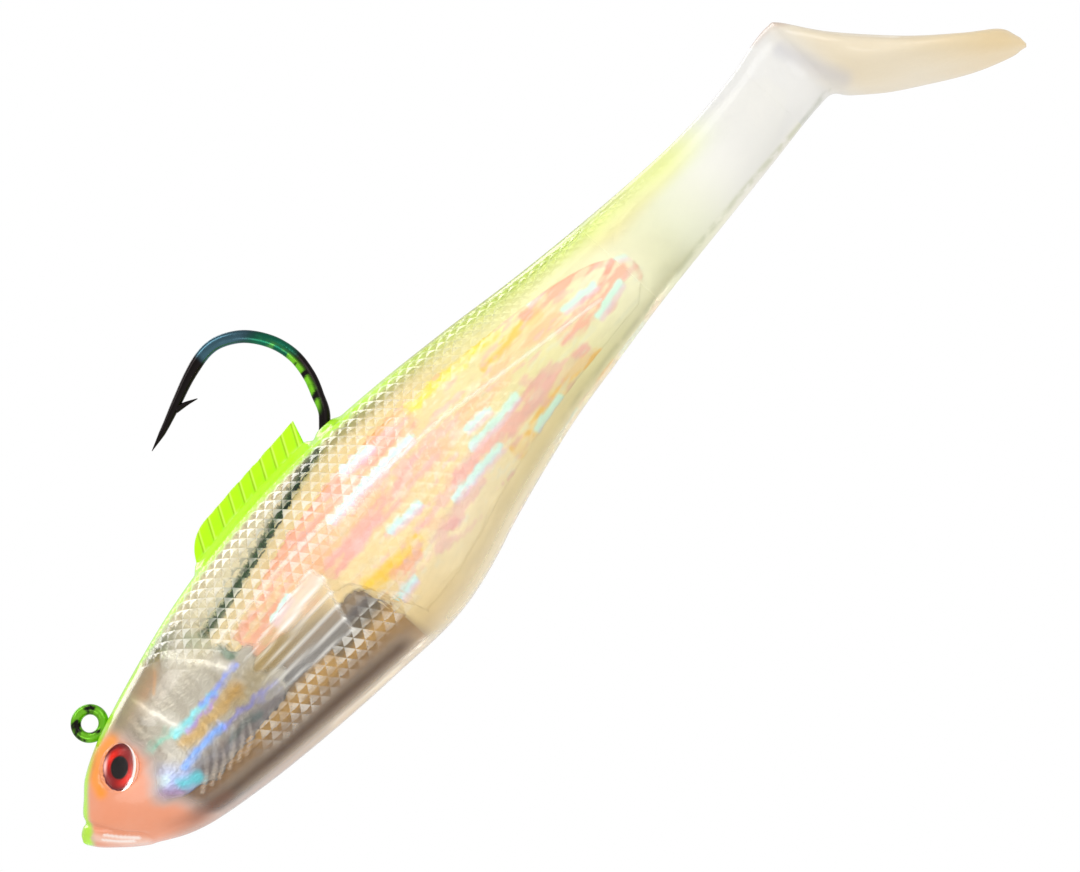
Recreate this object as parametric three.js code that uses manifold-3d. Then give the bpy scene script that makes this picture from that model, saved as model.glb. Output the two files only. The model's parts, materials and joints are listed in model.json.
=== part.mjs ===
// A pre-rigged paddle-tail swimbait: a lead jig head and its hook inside a soft two-layer body.
// Millimetres. The fish swims towards -X with its back up (+Z). The finished group's origin is the
// centre of the line tie. The shapes below are drawn in a frame that starts at the nose instead,
// with Z measured from the body's long axis, and the group moves them.
import * as THREE from "three";
import { mergeVertices } from "three/addons/utils/BufferGeometryUtils.js";
import Module from "manifold-3d";

const wasm = await Module();
wasm.setup();

// ---- driving dimensions ----
const LINE_TIE = new THREE.Vector2(9.0, 7.6); // centre of the eye ring, from the nose
const GAP = 0.3; // clearance between neighbouring pieces
const SKIN = 1.6; // thickness of the clear outer layer
const FOIL = 0.4; // thickness given to the film pieces
const WIRE_RADIUS = 0.62;
const RING_RADIUS = 1.5; // to the middle of the wire
const TAIL_PIVOT = 88.5; // where the tail stem starts to bend
const TAIL_SWING = 35; // degrees each way that the stem stays clear of the body
const PADDLE_PIVOT = 106;
const PADDLE_SWING = 40;
const EYE_RADIUS = 2.6;
const AROUND = 24; // points around the soft body

// ---- the body's outline, as points on smooth curves: distance from the nose, then the value ----
const BACK = curve([
  [-0.7, -0.1], [0.2, 0.9], [1.2, 1.9], [4, 4.0], [10, 6.3], [22, 9.2], [36, 10.6], [48, 10.2],
  [60, 8.7], [74, 6.1], [86, 4.3], [98, 3.3], [106, 3.9], [111, 4.3], [113.5, 0.6],
]);
const BELLY = curve([
  [-0.7, -1.1], [0.2, -2.2], [1.2, -3.4], [4, -5.9], [10, -9.1], [22, -11.5], [34, -13.0], [43, -13.7],
  [50, -12.7], [60, -10.1], [70, -8.3], [84, -7.1], [98, -6.1], [106, -5.4], [111, -4.7], [113.5, -5.4],
]);
const HALF_WIDTH = curve([
  [-0.7, 1.2], [0.2, 2.1], [1.2, 2.9], [4, 4.4], [10, 6.1], [22, 7.7], [34, 8.1], [46, 7.8],
  [60, 6.2], [74, 4.6], [88, 3.3], [100, 2.5], [113.5, 2.1],
]);
const LEVEL = 0.44; // share of the depth, from the belly, where the body is widest

// ---- the hook's wire, from the ring down the neck, along the shank and round the bend ----
const NECK = [[9.0, 7.6], [9.3, 6.4], [10.7, 1.3]];
const SHANK = [[12.1, 0.6], [24, 3.7], [45, 9.3]];
const BEND = [[49.4, 11.6], [51.2, 14.4], [51.8, 17.9], [51.0, 21.2], [48.6, 24.2], [45, 25.1], [41.8, 24.3]];
const POINT = [[39.2, 23.6], [34, 22.3]];

// A smooth function through points: a cubic between each two, with the slope at a point taken
// from its neighbours.
function curve(points) {
  const slope = points.map((p, i) => {
    const a = points[Math.max(i - 1, 0)];
    const b = points[Math.min(i + 1, points.length - 1)];
    return (b[1] - a[1]) / (b[0] - a[0]);
  });
  return (x) => {
    let i = points.findIndex((p) => p[0] > x) - 1;
    if (x <= points[0][0]) return points[0][1];
    if (i < 0) return points.at(-1)[1];
    const [x0, y0] = points[i];
    const [x1, y1] = points[i + 1];
    const h = x1 - x0;
    const t = (x - x0) / h;
    return (
      y0 * (1 + 2 * t) * (1 - t) ** 2 + y1 * t * t * (3 - 2 * t) +
      h * slope[i] * t * (1 - t) ** 2 + h * slope[i + 1] * t * t * (t - 1)
    );
  };
}

const range = (count, from, to) =>
  Array.from({ length: count + 1 }, (_, i) => from + ((to - from) * i) / count);

const power = (v, p) => Math.sign(v) * Math.abs(v) ** p;

// A closed skin over rings of points, each ring running anticlockwise seen from the last one.
function skinOver(rings) {
  const n = rings[0].length;
  const points = rings.flat();
  const index = [];
  for (let i = 0; i + 1 < rings.length; i++)
    for (let j = 0; j < n; j++) {
      const a = i * n + j;
      const b = i * n + ((j + 1) % n);
      index.push(a, b, b + n, a, b + n, a + n);
    }
  const middle = (ring) =>
    ring.reduce((sum, p) => sum.add(p), new THREE.Vector3()).divideScalar(n);
  points.push(middle(rings[0]), middle(rings.at(-1)));
  const last = (rings.length - 1) * n;
  for (let j = 0; j < n; j++) {
    const next = (j + 1) % n;
    index.push(points.length - 2, next, j, points.length - 1, last + j, last + next);
  }
  return new THREE.BufferGeometry().setFromPoints(points).setIndex(index);
}

// ---- solids: three.js geometry in and out of manifold-3d ----
function solid(geometry) {
  const bare = new THREE.BufferGeometry().setAttribute("position", geometry.getAttribute("position"));
  bare.setIndex(geometry.index);
  const merged = mergeVertices(bare, 1e-4);
  return new wasm.Manifold(
    new wasm.Mesh({
      numProp: 3,
      vertProperties: merged.attributes.position.array,
      triVerts: new Uint32Array(merged.index.array),
    }),
  );
}

function geometryOf(body) {
  const made = body.getMesh();
  const points = new Float32Array(made.numVert * 3);
  for (let i = 0; i < made.numVert; i++)
    points.set(made.vertProperties.subarray(i * made.numProp, i * made.numProp + 3), i * 3);
  const geometry = new THREE.BufferGeometry();
  geometry.setAttribute("position", new THREE.BufferAttribute(points, 3));
  geometry.setIndex(new THREE.BufferAttribute(made.triVerts, 1));
  geometry.computeVertexNormals();
  return geometry;
}

const without = (body, ...cutters) => cutters.reduce((left, cutter) => left.subtract(cutter), body);

// A box from its lowest and highest corners.
function block(low, high) {
  const [a, b] = [new THREE.Vector3(...low), new THREE.Vector3(...high)];
  const size = b.clone().sub(a);
  const middle = a.add(b).divideScalar(2);
  return new THREE.BoxGeometry(size.x, size.y, size.z).translate(middle.x, middle.y, middle.z);
}

// ---- soft body ----
// Heights of the body's belly, widest level and back at x, shrunk by inset.
function heights(x, inset, top = BACK) {
  const [back, belly] = [top(x) - inset, BELLY(x) + inset];
  return { back, belly, level: belly + (back - belly) * LEVEL };
}

// A point on the body, shrunk by inset: 0 degrees is the right flank, 90 the back, -90 the belly.
// The back half is the rounder one and the belly is flatter.
function surface(x, angle, inset, top) {
  const { back, belly, level } = heights(x, inset, top);
  const [c, s] = [Math.cos(angle), Math.sin(angle)];
  const y = (HALF_WIDTH(x) - inset) * power(c, s > 0 ? 1.08 : 0.86);
  return new THREE.Vector3(x, y, level + (s > 0 ? (back - level) * s : (level - belly) * power(s, 0.96)));
}

const turnOf = (count) => range(count - 1, 0, (2 * Math.PI * (count - 1)) / count);

function bodyLoft(stations, inset, count, top) {
  return solid(skinOver(stations.map((x) => turnOf(count).map((angle) => surface(x, angle, inset, top)))));
}

// The whole soft body, nose to the tail stem's end, with stations closer together at the nose.
function outerBody() {
  const nose = [-0.7, -0.3, 0.2, 1.2, 2.4, 3.8, 5.4, 7.4, 10, 13];
  const rest = range(16, 17, 108).concat([111, 113.5]);
  return bodyLoft(nose.concat(rest), 0, AROUND);
}

// An upright cylinder on a pivot.
function pin(x, radius) {
  return solid(new THREE.CylinderGeometry(radius, radius, 60, 32).rotateX(Math.PI / 2).translate(x, 0, 0));
}

// Everything behind a pivot, turned by an angle about it.
function behind(x, degrees) {
  const space = block([0, -60, -60], [60, 60, 60]);
  return solid(space.rotateZ(THREE.MathUtils.degToRad(degrees)).translate(x, 0, 0));
}

// Room that a tail piece needs round its pivot, and the space that piece itself fills.
const sweep = (x, radius, degrees) =>
  behind(x, 0).add(behind(x, degrees)).add(behind(x, -degrees)).add(pin(x, radius + GAP));
const knuckle = (x, radius) => behind(x, 0).add(pin(x, radius));

// The boot at the tail's end, as sections from the stem's top corner to the toe.
const SOLE = { x: 110.9, z: 4.4, angle: 50 };
const BOOT_THICKNESS = curve([[0, 1.4], [4, 3.6], [9, 4.7], [12, 3.9], [16, 2.9], [21, 2.3], [27, 1.2]]);
const BOOT_HALF_WIDTH = curve([[0, 2.3], [4, 5.6], [9, 7.7], [14, 7.3], [20, 5.6], [25, 3.2], [27, 0.8]]);

function boot() {
  const turn = THREE.MathUtils.degToRad(SOLE.angle);
  const along = new THREE.Vector3(Math.cos(turn), 0, -Math.sin(turn));
  const up = new THREE.Vector3(Math.sin(turn), 0, Math.cos(turn));
  const start = new THREE.Vector3(SOLE.x, 0, SOLE.z);
  const rings = [0, 1.5, 3.5, 6, 9, 12, 15, 18, 21, 23.5, 25.5, 26.6, 27].map((u) => {
    const [half, wide] = [BOOT_THICKNESS(u) / 2, BOOT_HALF_WIDTH(u)];
    return range(19, 0, 1.9 * Math.PI).map((angle) =>
      start
        .clone()
        .addScaledVector(along, u)
        .addScaledVector(up, half * (power(Math.sin(angle), 0.7) - 1))
        .add(new THREE.Vector3(0, wide * power(Math.cos(angle), 0.9), 0)),
    );
  });
  return solid(skinOver(rings));
}

// ---- hook ----
const inPlane = ([x, z]) => new THREE.Vector3(x, 0, z);

function wirePath() {
  const line = [...NECK, ...SHANK, ...BEND, ...POINT].map(inPlane);
  return new THREE.CatmullRomCurve3(line, false, "centripetal");
}

// The wire as a tube that ends in a needle point, fattened by grow for the channel that holds it.
function wire(grow, steps, sides) {
  const path = wirePath();
  const taper = 0.93; // where the point starts to thin
  const across = new THREE.Vector3(0, 1, 0);
  const rings = range(steps, 0, 1).map((t) => {
    const centre = path.getPointAt(t);
    const tangent = path.getTangentAt(t);
    const outward = new THREE.Vector3().crossVectors(tangent, across);
    const thin = t > taper ? Math.max((1 - t) / (1 - taper), 0.04) : 1;
    const radius = WIRE_RADIUS * thin + grow;
    return turnOf(sides).map((angle) =>
      centre
        .clone()
        .addScaledVector(across, radius * Math.cos(angle))
        .addScaledVector(outward, radius * Math.sin(angle)),
    );
  });
  return solid(skinOver(rings));
}

function ring(grow) {
  const torus = new THREE.TorusGeometry(RING_RADIUS, WIRE_RADIUS - 0.06 + grow, 10, 24);
  return solid(torus.rotateX(Math.PI / 2).translate(LINE_TIE.x, 0, LINE_TIE.y));
}

// The sliver raised from the point's inner side, which stops a fish slipping off.
function barb() {
  const corners = [[40.6, 23.4], [41.5, 22.35], [38.9, 23.0]];
  const outline = new THREE.Shape(corners.map((p) => new THREE.Vector2(...p)));
  const sliver = new THREE.ExtrudeGeometry(outline, { depth: 0.5, bevelEnabled: false });
  return solid(sliver.translate(0, 0, -0.25).rotateX(Math.PI / 2));
}

// The ring's hole stays open: the wire's neck starts at the ring's own wire.
function hook() {
  const hole = new THREE.CylinderGeometry(0.94, 0.94, 8, 28).translate(LINE_TIE.x, 0, LINE_TIE.y);
  return wire(0, 64, 10).add(barb()).subtract(solid(hole)).add(ring(0));
}

const hookRoom = () => wire(GAP, 44, 8).add(ring(GAP));

// ---- lead ----
const LEAD_TOP = curve([[8.2, 1.2], [11, 3.6], [15, 5.6], [19, 6.6], [23.6, 6.2]]);
const KEEL_TOP = curve([[7, -3.4], [12, -4.0], [24, -4.6], [36, -5.6], [42.6, -8.2]]);

// A cast block with chamfered edges between two heights, at one station.
function castSection(x, low, high, half, grow, chamfer = 0.32) {
  const [w, b, t] = [half + grow, low - grow, high + grow];
  const [cw, ch] = [w * chamfer, (t - b) * chamfer];
  const right = [[w - cw, b], [w, b + ch], [w, t - ch], [w - cw, t]];
  const left = [[cw - w, t], [-w, t - ch], [-w, b + ch], [cw - w, b]];
  return [...right, ...left].map(([y, z]) => new THREE.Vector3(x, y, z));
}

function leadHead(grow) {
  const rings = [8.2, 10.5, 13.5, 17, 20.5, 23.6].map((x, i, all) => {
    const stretch = i === 0 ? -grow : i === all.length - 1 ? grow : 0;
    const half = Math.min(4.6, HALF_WIDTH(x) - SKIN - 1.2);
    return castSection(x + stretch, -6, LEAD_TOP(x), half, grow);
  });
  const room = bodyLoft(range(7, 6 - grow, 26 + grow), SKIN + 0.9 - grow, 16);
  return solid(skinOver(rings)).intersect(room);
}

function leadKeel(grow) {
  const rings = [7, 8.6, 11, 15, 20, 26, 32, 38, 41, 42.6].map((x, i, all) => {
    const end = i === 0 || i === all.length - 1;
    const stretch = i === 0 ? -grow : end ? grow : 0;
    const half = (HALF_WIDTH(x) - SKIN - 1.2) * (end ? 0.6 : 0.86);
    const low = BELLY(x) + SKIN + (end ? 2 : 0.8);
    return castSection(x + stretch, low, KEEL_TOP(x) - (end ? 0.8 : 0), half, grow, 0.3);
  });
  return solid(skinOver(rings));
}

const leadCasting = (grow) => leadHead(grow).add(leadKeel(grow));

// ---- film ----
// A saddle of film over the lead head, open at both ends and below.
function headWrap(grow) {
  const over = leadHead(GAP + FOIL + grow);
  const inside = grow > 0 ? [] : [leadHead(GAP)];
  const trim = solid(block([9.4 - grow, -20, -2.6 - grow], [23.2 + grow, 20, 30]));
  return without(over.intersect(trim), ...inside);
}

// Outline of the flash film on the flank: its top and bottom edges along the body.
const FILM_FROM = 25.2;
const FILM_TO = 83;
const FILM_TOP = curve([[25, 1.0], [34, 3.6], [44, 5.6], [54, 5.6], [66, 3.9], [76, 2.0], [83, -0.8]]);
const FILM_BOTTOM = curve([
  [25, -1.6], [36, -4.6], [48, -7.0], [60, -7.0], [70, -5.7], [80, -4.6], [83, -3.4],
]);
const CORE_DEPTH = SKIN + GAP; // from the outside to the core and the film set in it

// The flank's angle at a height.
function angleAt(x, z, inset) {
  const { back, belly, level } = heights(x, inset);
  return Math.asin(THREE.MathUtils.clamp((z - level) / (z > level ? back - level : level - belly), -1, 1));
}

// side 1 is the fish's right, where a piece is drawn, and -1 its left, where it is mirrored.
const onSide = (side, body) => (side > 0 ? body : body.mirror([0, 1, 0]));

// A sheet that follows one flank, fattened by grow all round.
function flashFilm(side, grow) {
  const rings = range(14, FILM_FROM - grow, FILM_TO + grow).map((x) => {
    const low = angleAt(x, FILM_BOTTOM(x) - grow, CORE_DEPTH);
    const high = angleAt(x, FILM_TOP(x) + grow, CORE_DEPTH);
    const angles = range(5, low, high);
    const outside = angles.map((angle) => surface(x, angle, CORE_DEPTH - grow));
    const inside = angles.map((angle) => surface(x, angle, CORE_DEPTH + FOIL + grow));
    return [...outside, ...inside.reverse()];
  });
  return onSide(side, solid(skinOver(rings)));
}

// ---- inner core ----
const CORE_FROM = 12;
const CORE_TO = 84;
// The core's top follows the underside of the shank, then drops away towards the tail.
const CORE_TOP = curve([[12, -0.2], [24, 2.6], [36, 5.8], [46, 7.9], [56, 7.2], [70, 4.9], [84, 2.6]]);

function coreBlank(grow) {
  const stations = range(14, CORE_FROM - grow, CORE_TO + grow);
  return bodyLoft(stations, CORE_DEPTH - grow, 18, (x) => CORE_TOP(x) + CORE_DEPTH);
}

const stemCore = (grow) => bodyLoft(range(7, TAIL_PIVOT - 4, PADDLE_PIVOT - 4.2 + grow), 1.3 - grow, 16);

// ---- eyes ----
const EYE_PLACE = { x: 7.4, z: 1.0 };
const EYE_FACING = new THREE.Vector3(-0.42, 1, 0.44).normalize();

// A disc or dome that faces out of one side of the head, made round +Y and turned.
function eyePiece(geometry, side, depth) {
  const turn = new THREE.Quaternion().setFromUnitVectors(new THREE.Vector3(0, 1, 0), EYE_FACING);
  const place = surface(EYE_PLACE.x, angleAt(EYE_PLACE.x, EYE_PLACE.z, 0), 0);
  place.addScaledVector(EYE_FACING, depth);
  return onSide(side, solid(geometry.applyQuaternion(turn).translate(place.x, place.y, place.z)));
}

const eyeDisc = (side) => eyePiece(new THREE.CylinderGeometry(EYE_RADIUS, EYE_RADIUS, 0.5, 28), side, -0.9);

function eyeLens(side) {
  const rise = range(4, 0, Math.PI / 2).map(
    (angle) => new THREE.Vector2(EYE_RADIUS * Math.cos(angle), 0.3 + Math.sin(angle)),
  );
  const foot = [new THREE.Vector2(0, 0), new THREE.Vector2(EYE_RADIUS, 0)];
  const profile = [...foot, ...rise.slice(0, -1), new THREE.Vector2(0, 1.3)];
  return eyePiece(new THREE.LatheGeometry(profile, 24), side, -0.35);
}

// The socket in the head runs straight out along the way the eye faces.
function eyeSocket(side) {
  const bore = new THREE.CylinderGeometry(EYE_RADIUS + GAP, EYE_RADIUS + GAP, 6, 28).translate(0, 3, 0);
  return eyePiece(bore, side, -0.9 - 0.25 - GAP);
}

// ---- dorsal fin ----
const FIN_LINE = 11.35; // height of the fin's hinge line
const FIN_BEAD = 0.45;
const FIN_FROM = 28;
const FIN_TO = 45.2;

function dorsalFin() {
  const edge = [[28.2, 11.1], [29.6, 12.5], [31.6, 13.35], [46.4, 13.7], [45.4, 11.1]];
  const outline = new THREE.Shape(edge.map((p) => new THREE.Vector2(...p)));
  const blade = new THREE.ExtrudeGeometry(outline, { depth: 0.7, bevelEnabled: false });
  const bead = new THREE.CylinderGeometry(FIN_BEAD, FIN_BEAD, FIN_TO - FIN_FROM, 16).rotateZ(Math.PI / 2);
  return solid(blade.translate(0, 0, -0.35).rotateX(Math.PI / 2)).add(
    solid(bead.translate((FIN_FROM + FIN_TO) / 2, 0, FIN_LINE)),
  );
}

// ---- the assembly ----
const paint = (color, roughness, metalness = 0) =>
  new THREE.MeshStandardMaterial({ color, roughness, metalness });
const LOOKS = {
  clear: paint(0xe9e0b0, 0.3),
  tail: paint(0xece6cf, 0.35),
  pearl: paint(0xe6d79c, 0.5),
  chartreuse: paint(0xb0ff00, 0.45),
  steel: paint(0x1c2a26, 0.25, 1),
  lead: paint(0x9a8f7a, 0.6, 0.8),
  silver: paint(0xb9b6ac, 0.3, 0.7),
  flash: paint(0xf2b9a0, 0.25, 0.5),
  iris: paint(0xc01010, 0.3, 0.4),
  lens: paint(0xf6e4e0, 0.05),
};

const bait = new THREE.Group();
const fromNose = new THREE.Group();
fromNose.position.set(-LINE_TIE.x, 0, -LINE_TIE.y);
bait.add(fromNose);

function add(name, body, look) {
  const mesh = new THREE.Mesh(geometryOf(body), LOOKS[look]);
  mesh.name = name;
  fromNose.add(mesh);
}

const outer = outerBody();
const tailRadius = HALF_WIDTH(TAIL_PIVOT);
const paddleRadius = HALF_WIDTH(PADDLE_PIVOT);
const sides = { left: -1, right: 1 };
const films = [headWrap(GAP), flashFilm(-1, GAP), flashFilm(1, GAP)];
const cast = [leadCasting(GAP), hookRoom()];
const trunk = without(outer, sweep(TAIL_PIVOT, tailRadius, TAIL_SWING));

add("body_skin", without(trunk, coreBlank(GAP), ...cast, ...films, eyeSocket(-1), eyeSocket(1)), "clear");
add("body_core", without(coreBlank(0), ...cast, ...films), "pearl");
add("lead_head", without(leadCasting(0), hookRoom()), "lead");
add("jig_hook", hook(), "steel");
add("head_wrap", without(headWrap(0), hookRoom(), leadKeel(GAP)), "silver");
for (const [name, side] of Object.entries(sides)) {
  add(`flash_film_${name}`, without(flashFilm(side, 0), leadCasting(GAP), hookRoom()), "flash");
  add(`eye_disc_${name}`, eyeDisc(side), "iris");
  add(`eye_lens_${name}`, eyeLens(side), "lens");
}
add("dorsal_fin", dorsalFin(), "chartreuse");

const stemShape = knuckle(TAIL_PIVOT, tailRadius);
const stem = outer.intersect(stemShape);
add("tail_stem", without(stem, sweep(PADDLE_PIVOT, paddleRadius, PADDLE_SWING), stemCore(GAP)), "tail");
add("stem_core", stemCore(0).intersect(stemShape), "pearl");
add("tail_paddle", outer.intersect(knuckle(PADDLE_PIVOT, paddleRadius)).add(boot()), "tail");

export default bait;
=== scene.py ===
"""A pre-rigged paddle-tail swimbait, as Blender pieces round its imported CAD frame.

The body is drawn in millimetres from the nose: x runs along its axis to the tail, y to the fish's
right and z to its back. at() turns those into the row frame, in metres.
"""
import json
import math

import bpy
import numpy as np
from mathutils import Matrix, Vector


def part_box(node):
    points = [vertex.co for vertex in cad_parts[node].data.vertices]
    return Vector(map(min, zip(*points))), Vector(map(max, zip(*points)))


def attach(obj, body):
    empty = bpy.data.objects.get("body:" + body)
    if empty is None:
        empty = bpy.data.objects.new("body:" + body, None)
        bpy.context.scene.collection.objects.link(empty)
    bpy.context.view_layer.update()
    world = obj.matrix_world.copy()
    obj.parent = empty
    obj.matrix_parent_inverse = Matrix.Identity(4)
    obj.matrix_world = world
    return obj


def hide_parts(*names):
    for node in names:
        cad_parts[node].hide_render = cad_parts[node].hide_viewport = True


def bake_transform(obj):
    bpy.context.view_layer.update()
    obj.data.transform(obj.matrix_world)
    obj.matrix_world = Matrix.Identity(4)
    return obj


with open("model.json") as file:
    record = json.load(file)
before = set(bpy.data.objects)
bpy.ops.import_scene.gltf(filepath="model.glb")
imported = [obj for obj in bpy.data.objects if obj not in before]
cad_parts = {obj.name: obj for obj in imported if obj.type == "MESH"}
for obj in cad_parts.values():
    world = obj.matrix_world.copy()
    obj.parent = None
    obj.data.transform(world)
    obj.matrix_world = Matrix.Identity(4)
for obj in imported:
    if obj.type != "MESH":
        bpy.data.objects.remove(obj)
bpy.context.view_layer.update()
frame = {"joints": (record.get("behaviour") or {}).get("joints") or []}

# ---- the frame ----
MM = 0.001
NOSE_X = -0.7  # the CAD nose, from where the body's x starts
JOINTS = {j["name"]: j for j in frame["joints"]}
SWING = Vector(JOINTS["tail_swing"]["pos_m"])
ZERO = Vector((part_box("body_skin")[0].x - NOSE_X * MM, 0, SWING.z))


def at(x, y, z):
    return Vector((x, y, z)) * MM + ZERO


# ---- small helpers ----
def curve(points):
    """A smooth function through points, worked on arrays: cubics with slopes taken from neighbours."""
    px, py = np.array(points, float).T
    slope = np.empty_like(py)
    slope[1:-1] = (py[2:] - py[:-2]) / (px[2:] - px[:-2])
    slope[0] = (py[1] - py[0]) / (px[1] - px[0])
    slope[-1] = (py[-1] - py[-2]) / (px[-1] - px[-2])

    def value(x):
        x = np.clip(x, px[0], px[-1])
        i = np.clip(np.searchsorted(px, x, "right") - 1, 0, len(px) - 2)
        h = px[i + 1] - px[i]
        t = (x - px[i]) / h
        a = py[i] * (1 + 2 * t) * (1 - t) ** 2 + py[i + 1] * t * t * (3 - 2 * t)
        return a + h * slope[i] * t * (1 - t) ** 2 + h * slope[i + 1] * t * t * (t - 1)

    return value


def smooth(x, low, high):
    """0 below low, 1 above high, and an easy rise between them."""
    t = np.clip((x - low) / (high - low), 0, 1)
    return t * t * (3 - 2 * t)


def fall(x, low, high):
    """1 below low, 0 above high, and an easy fall between them."""
    return 1 - smooth(x, low, high)


def span(x, a, b, c, d):
    """Rises from a to b, and falls again from c to d."""
    return smooth(x, a, b) * fall(x, c, d)


def hump(distance, width):
    """1 at no distance, and fading like a bell."""
    return np.exp(-((distance / width) ** 2))


def circle(count):
    """Angles evenly round a circle."""
    return np.linspace(0, 2 * np.pi, count, endpoint=False)


def power(value, p):
    return np.sign(value) * np.abs(value) ** p


def near_line(x, z, line):
    """Distance from points of the flank to a broken line on it, and how far along it they are."""
    best = np.full(np.shape(x), 1e9)
    share = np.zeros(np.shape(x))
    legs = np.hypot(*np.diff(np.array(line, float), axis=0).T)
    done = 0.0
    for (x0, z0), (x1, z1), leg in zip(line, line[1:], legs):
        t = np.clip(((x - x0) * (x1 - x0) + (z - z0) * (z1 - z0)) / leg**2, 0, 1)
        d = np.hypot(x - x0 - t * (x1 - x0), z - z0 - t * (z1 - z0))
        share = np.where(d < best, (done + t * leg) / legs.sum(), share)
        best = np.minimum(best, d)
        done += leg
    return best, share


# ---- the body's shape ----
BACK = curve([
    (-0.7, -0.5), (-0.35, 0.15), (0.3, 0.55), (1.0, 0.8), (1.35, 1.5), (2.7, 2.7), (4.2, 4.0), (7.3, 5.5),
    (10.4, 6.5), (16.7, 8.1), (22.9, 9.4), (29, 10.2), (38, 10.7), (46, 10.4), (54, 9.6), (64, 8.0),
    (73, 6.3), (82, 4.9), (92, 3.7), (98, 3.4), (104, 3.7), (108, 4.35), (111.2, 4.5),
])
BELLY = curve([
    (-0.7, -0.9), (0.0, -2.0), (1.0, -3.1), (2.2, -4.3), (4.2, -5.9), (7.3, -7.9), (10.4, -9.1),
    (16.7, -10.5), (22.9, -11.5), (29.2, -12.3), (35.4, -12.9), (41.0, -13.4), (44.8, -13.3), (48, -12.8),
    (51, -12.1), (54.2, -11.2), (60.4, -9.8), (66.7, -8.6), (72.9, -7.9), (82, -7.0), (91.7, -6.4),
    (101, -5.8), (110.4, -5.0),
])
HALF_WIDTH = curve([
    (-0.7, 0.9), (0.2, 2.0), (1.2, 2.8), (4, 4.4), (8, 5.6), (14, 6.9), (22, 7.7), (32, 8.1), (42, 8.0),
    (52, 7.2), (62, 6.0), (72, 4.8), (82, 3.7), (92, 2.9), (101, 2.4), (111, 2.2),
])
LEVEL = curve([(-0.7, 0.6), (4, 0.5), (12, 0.44), (60, 0.46), (112, 0.5)])  # how high its widest line lies
AROUND = 180  # points round the body
DOWN_SIDE = 241  # points down each side, from which those are picked
FLANK_STEPS = 121  # points down a flank, where a film or an eye lies on it
CELLS = 30  # scales round the body
CELL = 1.35  # length of a scale
SPLIT_X = 105.0  # where the trunk's skin hands over to the tail's


def ring_points(x, inset=0.0, count=AROUND):
    """Points round the body at each x, evenly spaced by arc from the back, down the right side first."""
    x = np.atleast_1d(np.asarray(x, float))[:, None]
    top, low = BACK(x) - inset, BELLY(x) + inset
    level = low + (top - low) * LEVEL(x)
    width = np.maximum(HALF_WIDTH(x) - inset, 0.05)
    angle = np.linspace(np.pi / 2, -np.pi / 2, DOWN_SIDE)[None, :]
    c, s = np.cos(angle), np.sin(angle)
    y = width * np.where(s > 0, c**1.1, np.abs(c) ** 0.85)
    z = level + np.where(s > 0, (top - level) * s, (level - low) * power(s, 0.96))
    arc = np.concatenate([np.zeros((len(x), 1)), np.hypot(np.diff(y), np.diff(z)).cumsum(1)], 1)
    half = count // 2
    want = np.linspace(0, 1, half + 1)
    y, z = [np.stack([np.interp(want * a[-1], a, row) for a, row in zip(arc, v)]) for v in (y, z)]
    ys = np.concatenate([y, -y[:, -2:0:-1]], 1)
    zs = np.concatenate([z, z[:, -2:0:-1]], 1)
    return np.stack([np.broadcast_to(x, ys.shape), ys, zs], 2)


def loft_faces(rings, count, flip=None):
    """Triangles over rings of points. flip says for each ring and place which way its pair is cut."""
    i, j = np.meshgrid(np.arange(rings - 1), np.arange(count), indexing="ij")
    a, b = i * count + j, i * count + (j + 1) % count
    c, d = b + count, a + count
    flip = np.zeros(a.shape, bool) if flip is None else flip
    first = np.where(flip[..., None], np.stack([a, d, b], 2), np.stack([a, c, b], 2))
    second = np.where(flip[..., None], np.stack([d, c, b], 2), np.stack([a, d, c], 2))
    return np.concatenate([first.reshape(-1, 3), second.reshape(-1, 3)])


def cap_faces(start, count, centre, forward):
    """A fan that closes a ring, facing along x if forward."""
    j = np.arange(count)
    a, b = start + j, start + (j + 1) % count
    order = [np.full(count, centre), b, a] if forward else [np.full(count, centre), a, b]
    return np.stack(order, 1)


def closed_loft(rings):
    """Points and faces over rings of points, with a fan over each end."""
    last, count = rings.shape[0] * rings.shape[1], rings.shape[1]
    points = np.concatenate([rings.reshape(-1, 3), [rings[0].mean(0), rings[-1].mean(0)]])
    faces = [loft_faces(len(rings), count), cap_faces(0, count, last, False)]
    return points, np.concatenate(faces + [cap_faces(last - count, count, last + 1, True)])


def keep(piece, name, values, kind, key):
    """Stores a number, a direction or a colour at each point, for the materials."""
    data = piece.data.attributes.new(name, kind, "POINT").data
    data.foreach_set(key, np.asarray(values, np.float32).ravel())


def make_piece(name, points, faces, material, tint=None, **numbers):
    """A mesh piece from points in millimetres from the nose, with what its material reads at each point."""
    mesh = bpy.data.meshes.new(name)
    world = np.asarray(points, float) * MM + np.array(ZERO)
    mesh.from_pydata(world.tolist(), [], np.asarray(faces).tolist())
    mesh.polygons.foreach_set("use_smooth", [True] * len(mesh.polygons))
    mesh.materials.append(material)
    mesh.update()
    piece = bpy.data.objects.new(name, mesh)
    bpy.context.scene.collection.objects.link(piece)
    keep(piece, "rest", points, "FLOAT_VECTOR", "vector")
    if tint is not None:
        keep(piece, "tint", np.insert(tint, 3, 1, axis=-1), "FLOAT_COLOR", "color")
    for key, values in numbers.items():
        kind = ("FLOAT_VECTOR", "vector") if values.ndim > 1 else ("FLOAT", "value")
        keep(piece, key, values, *kind)
    return piece


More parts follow.
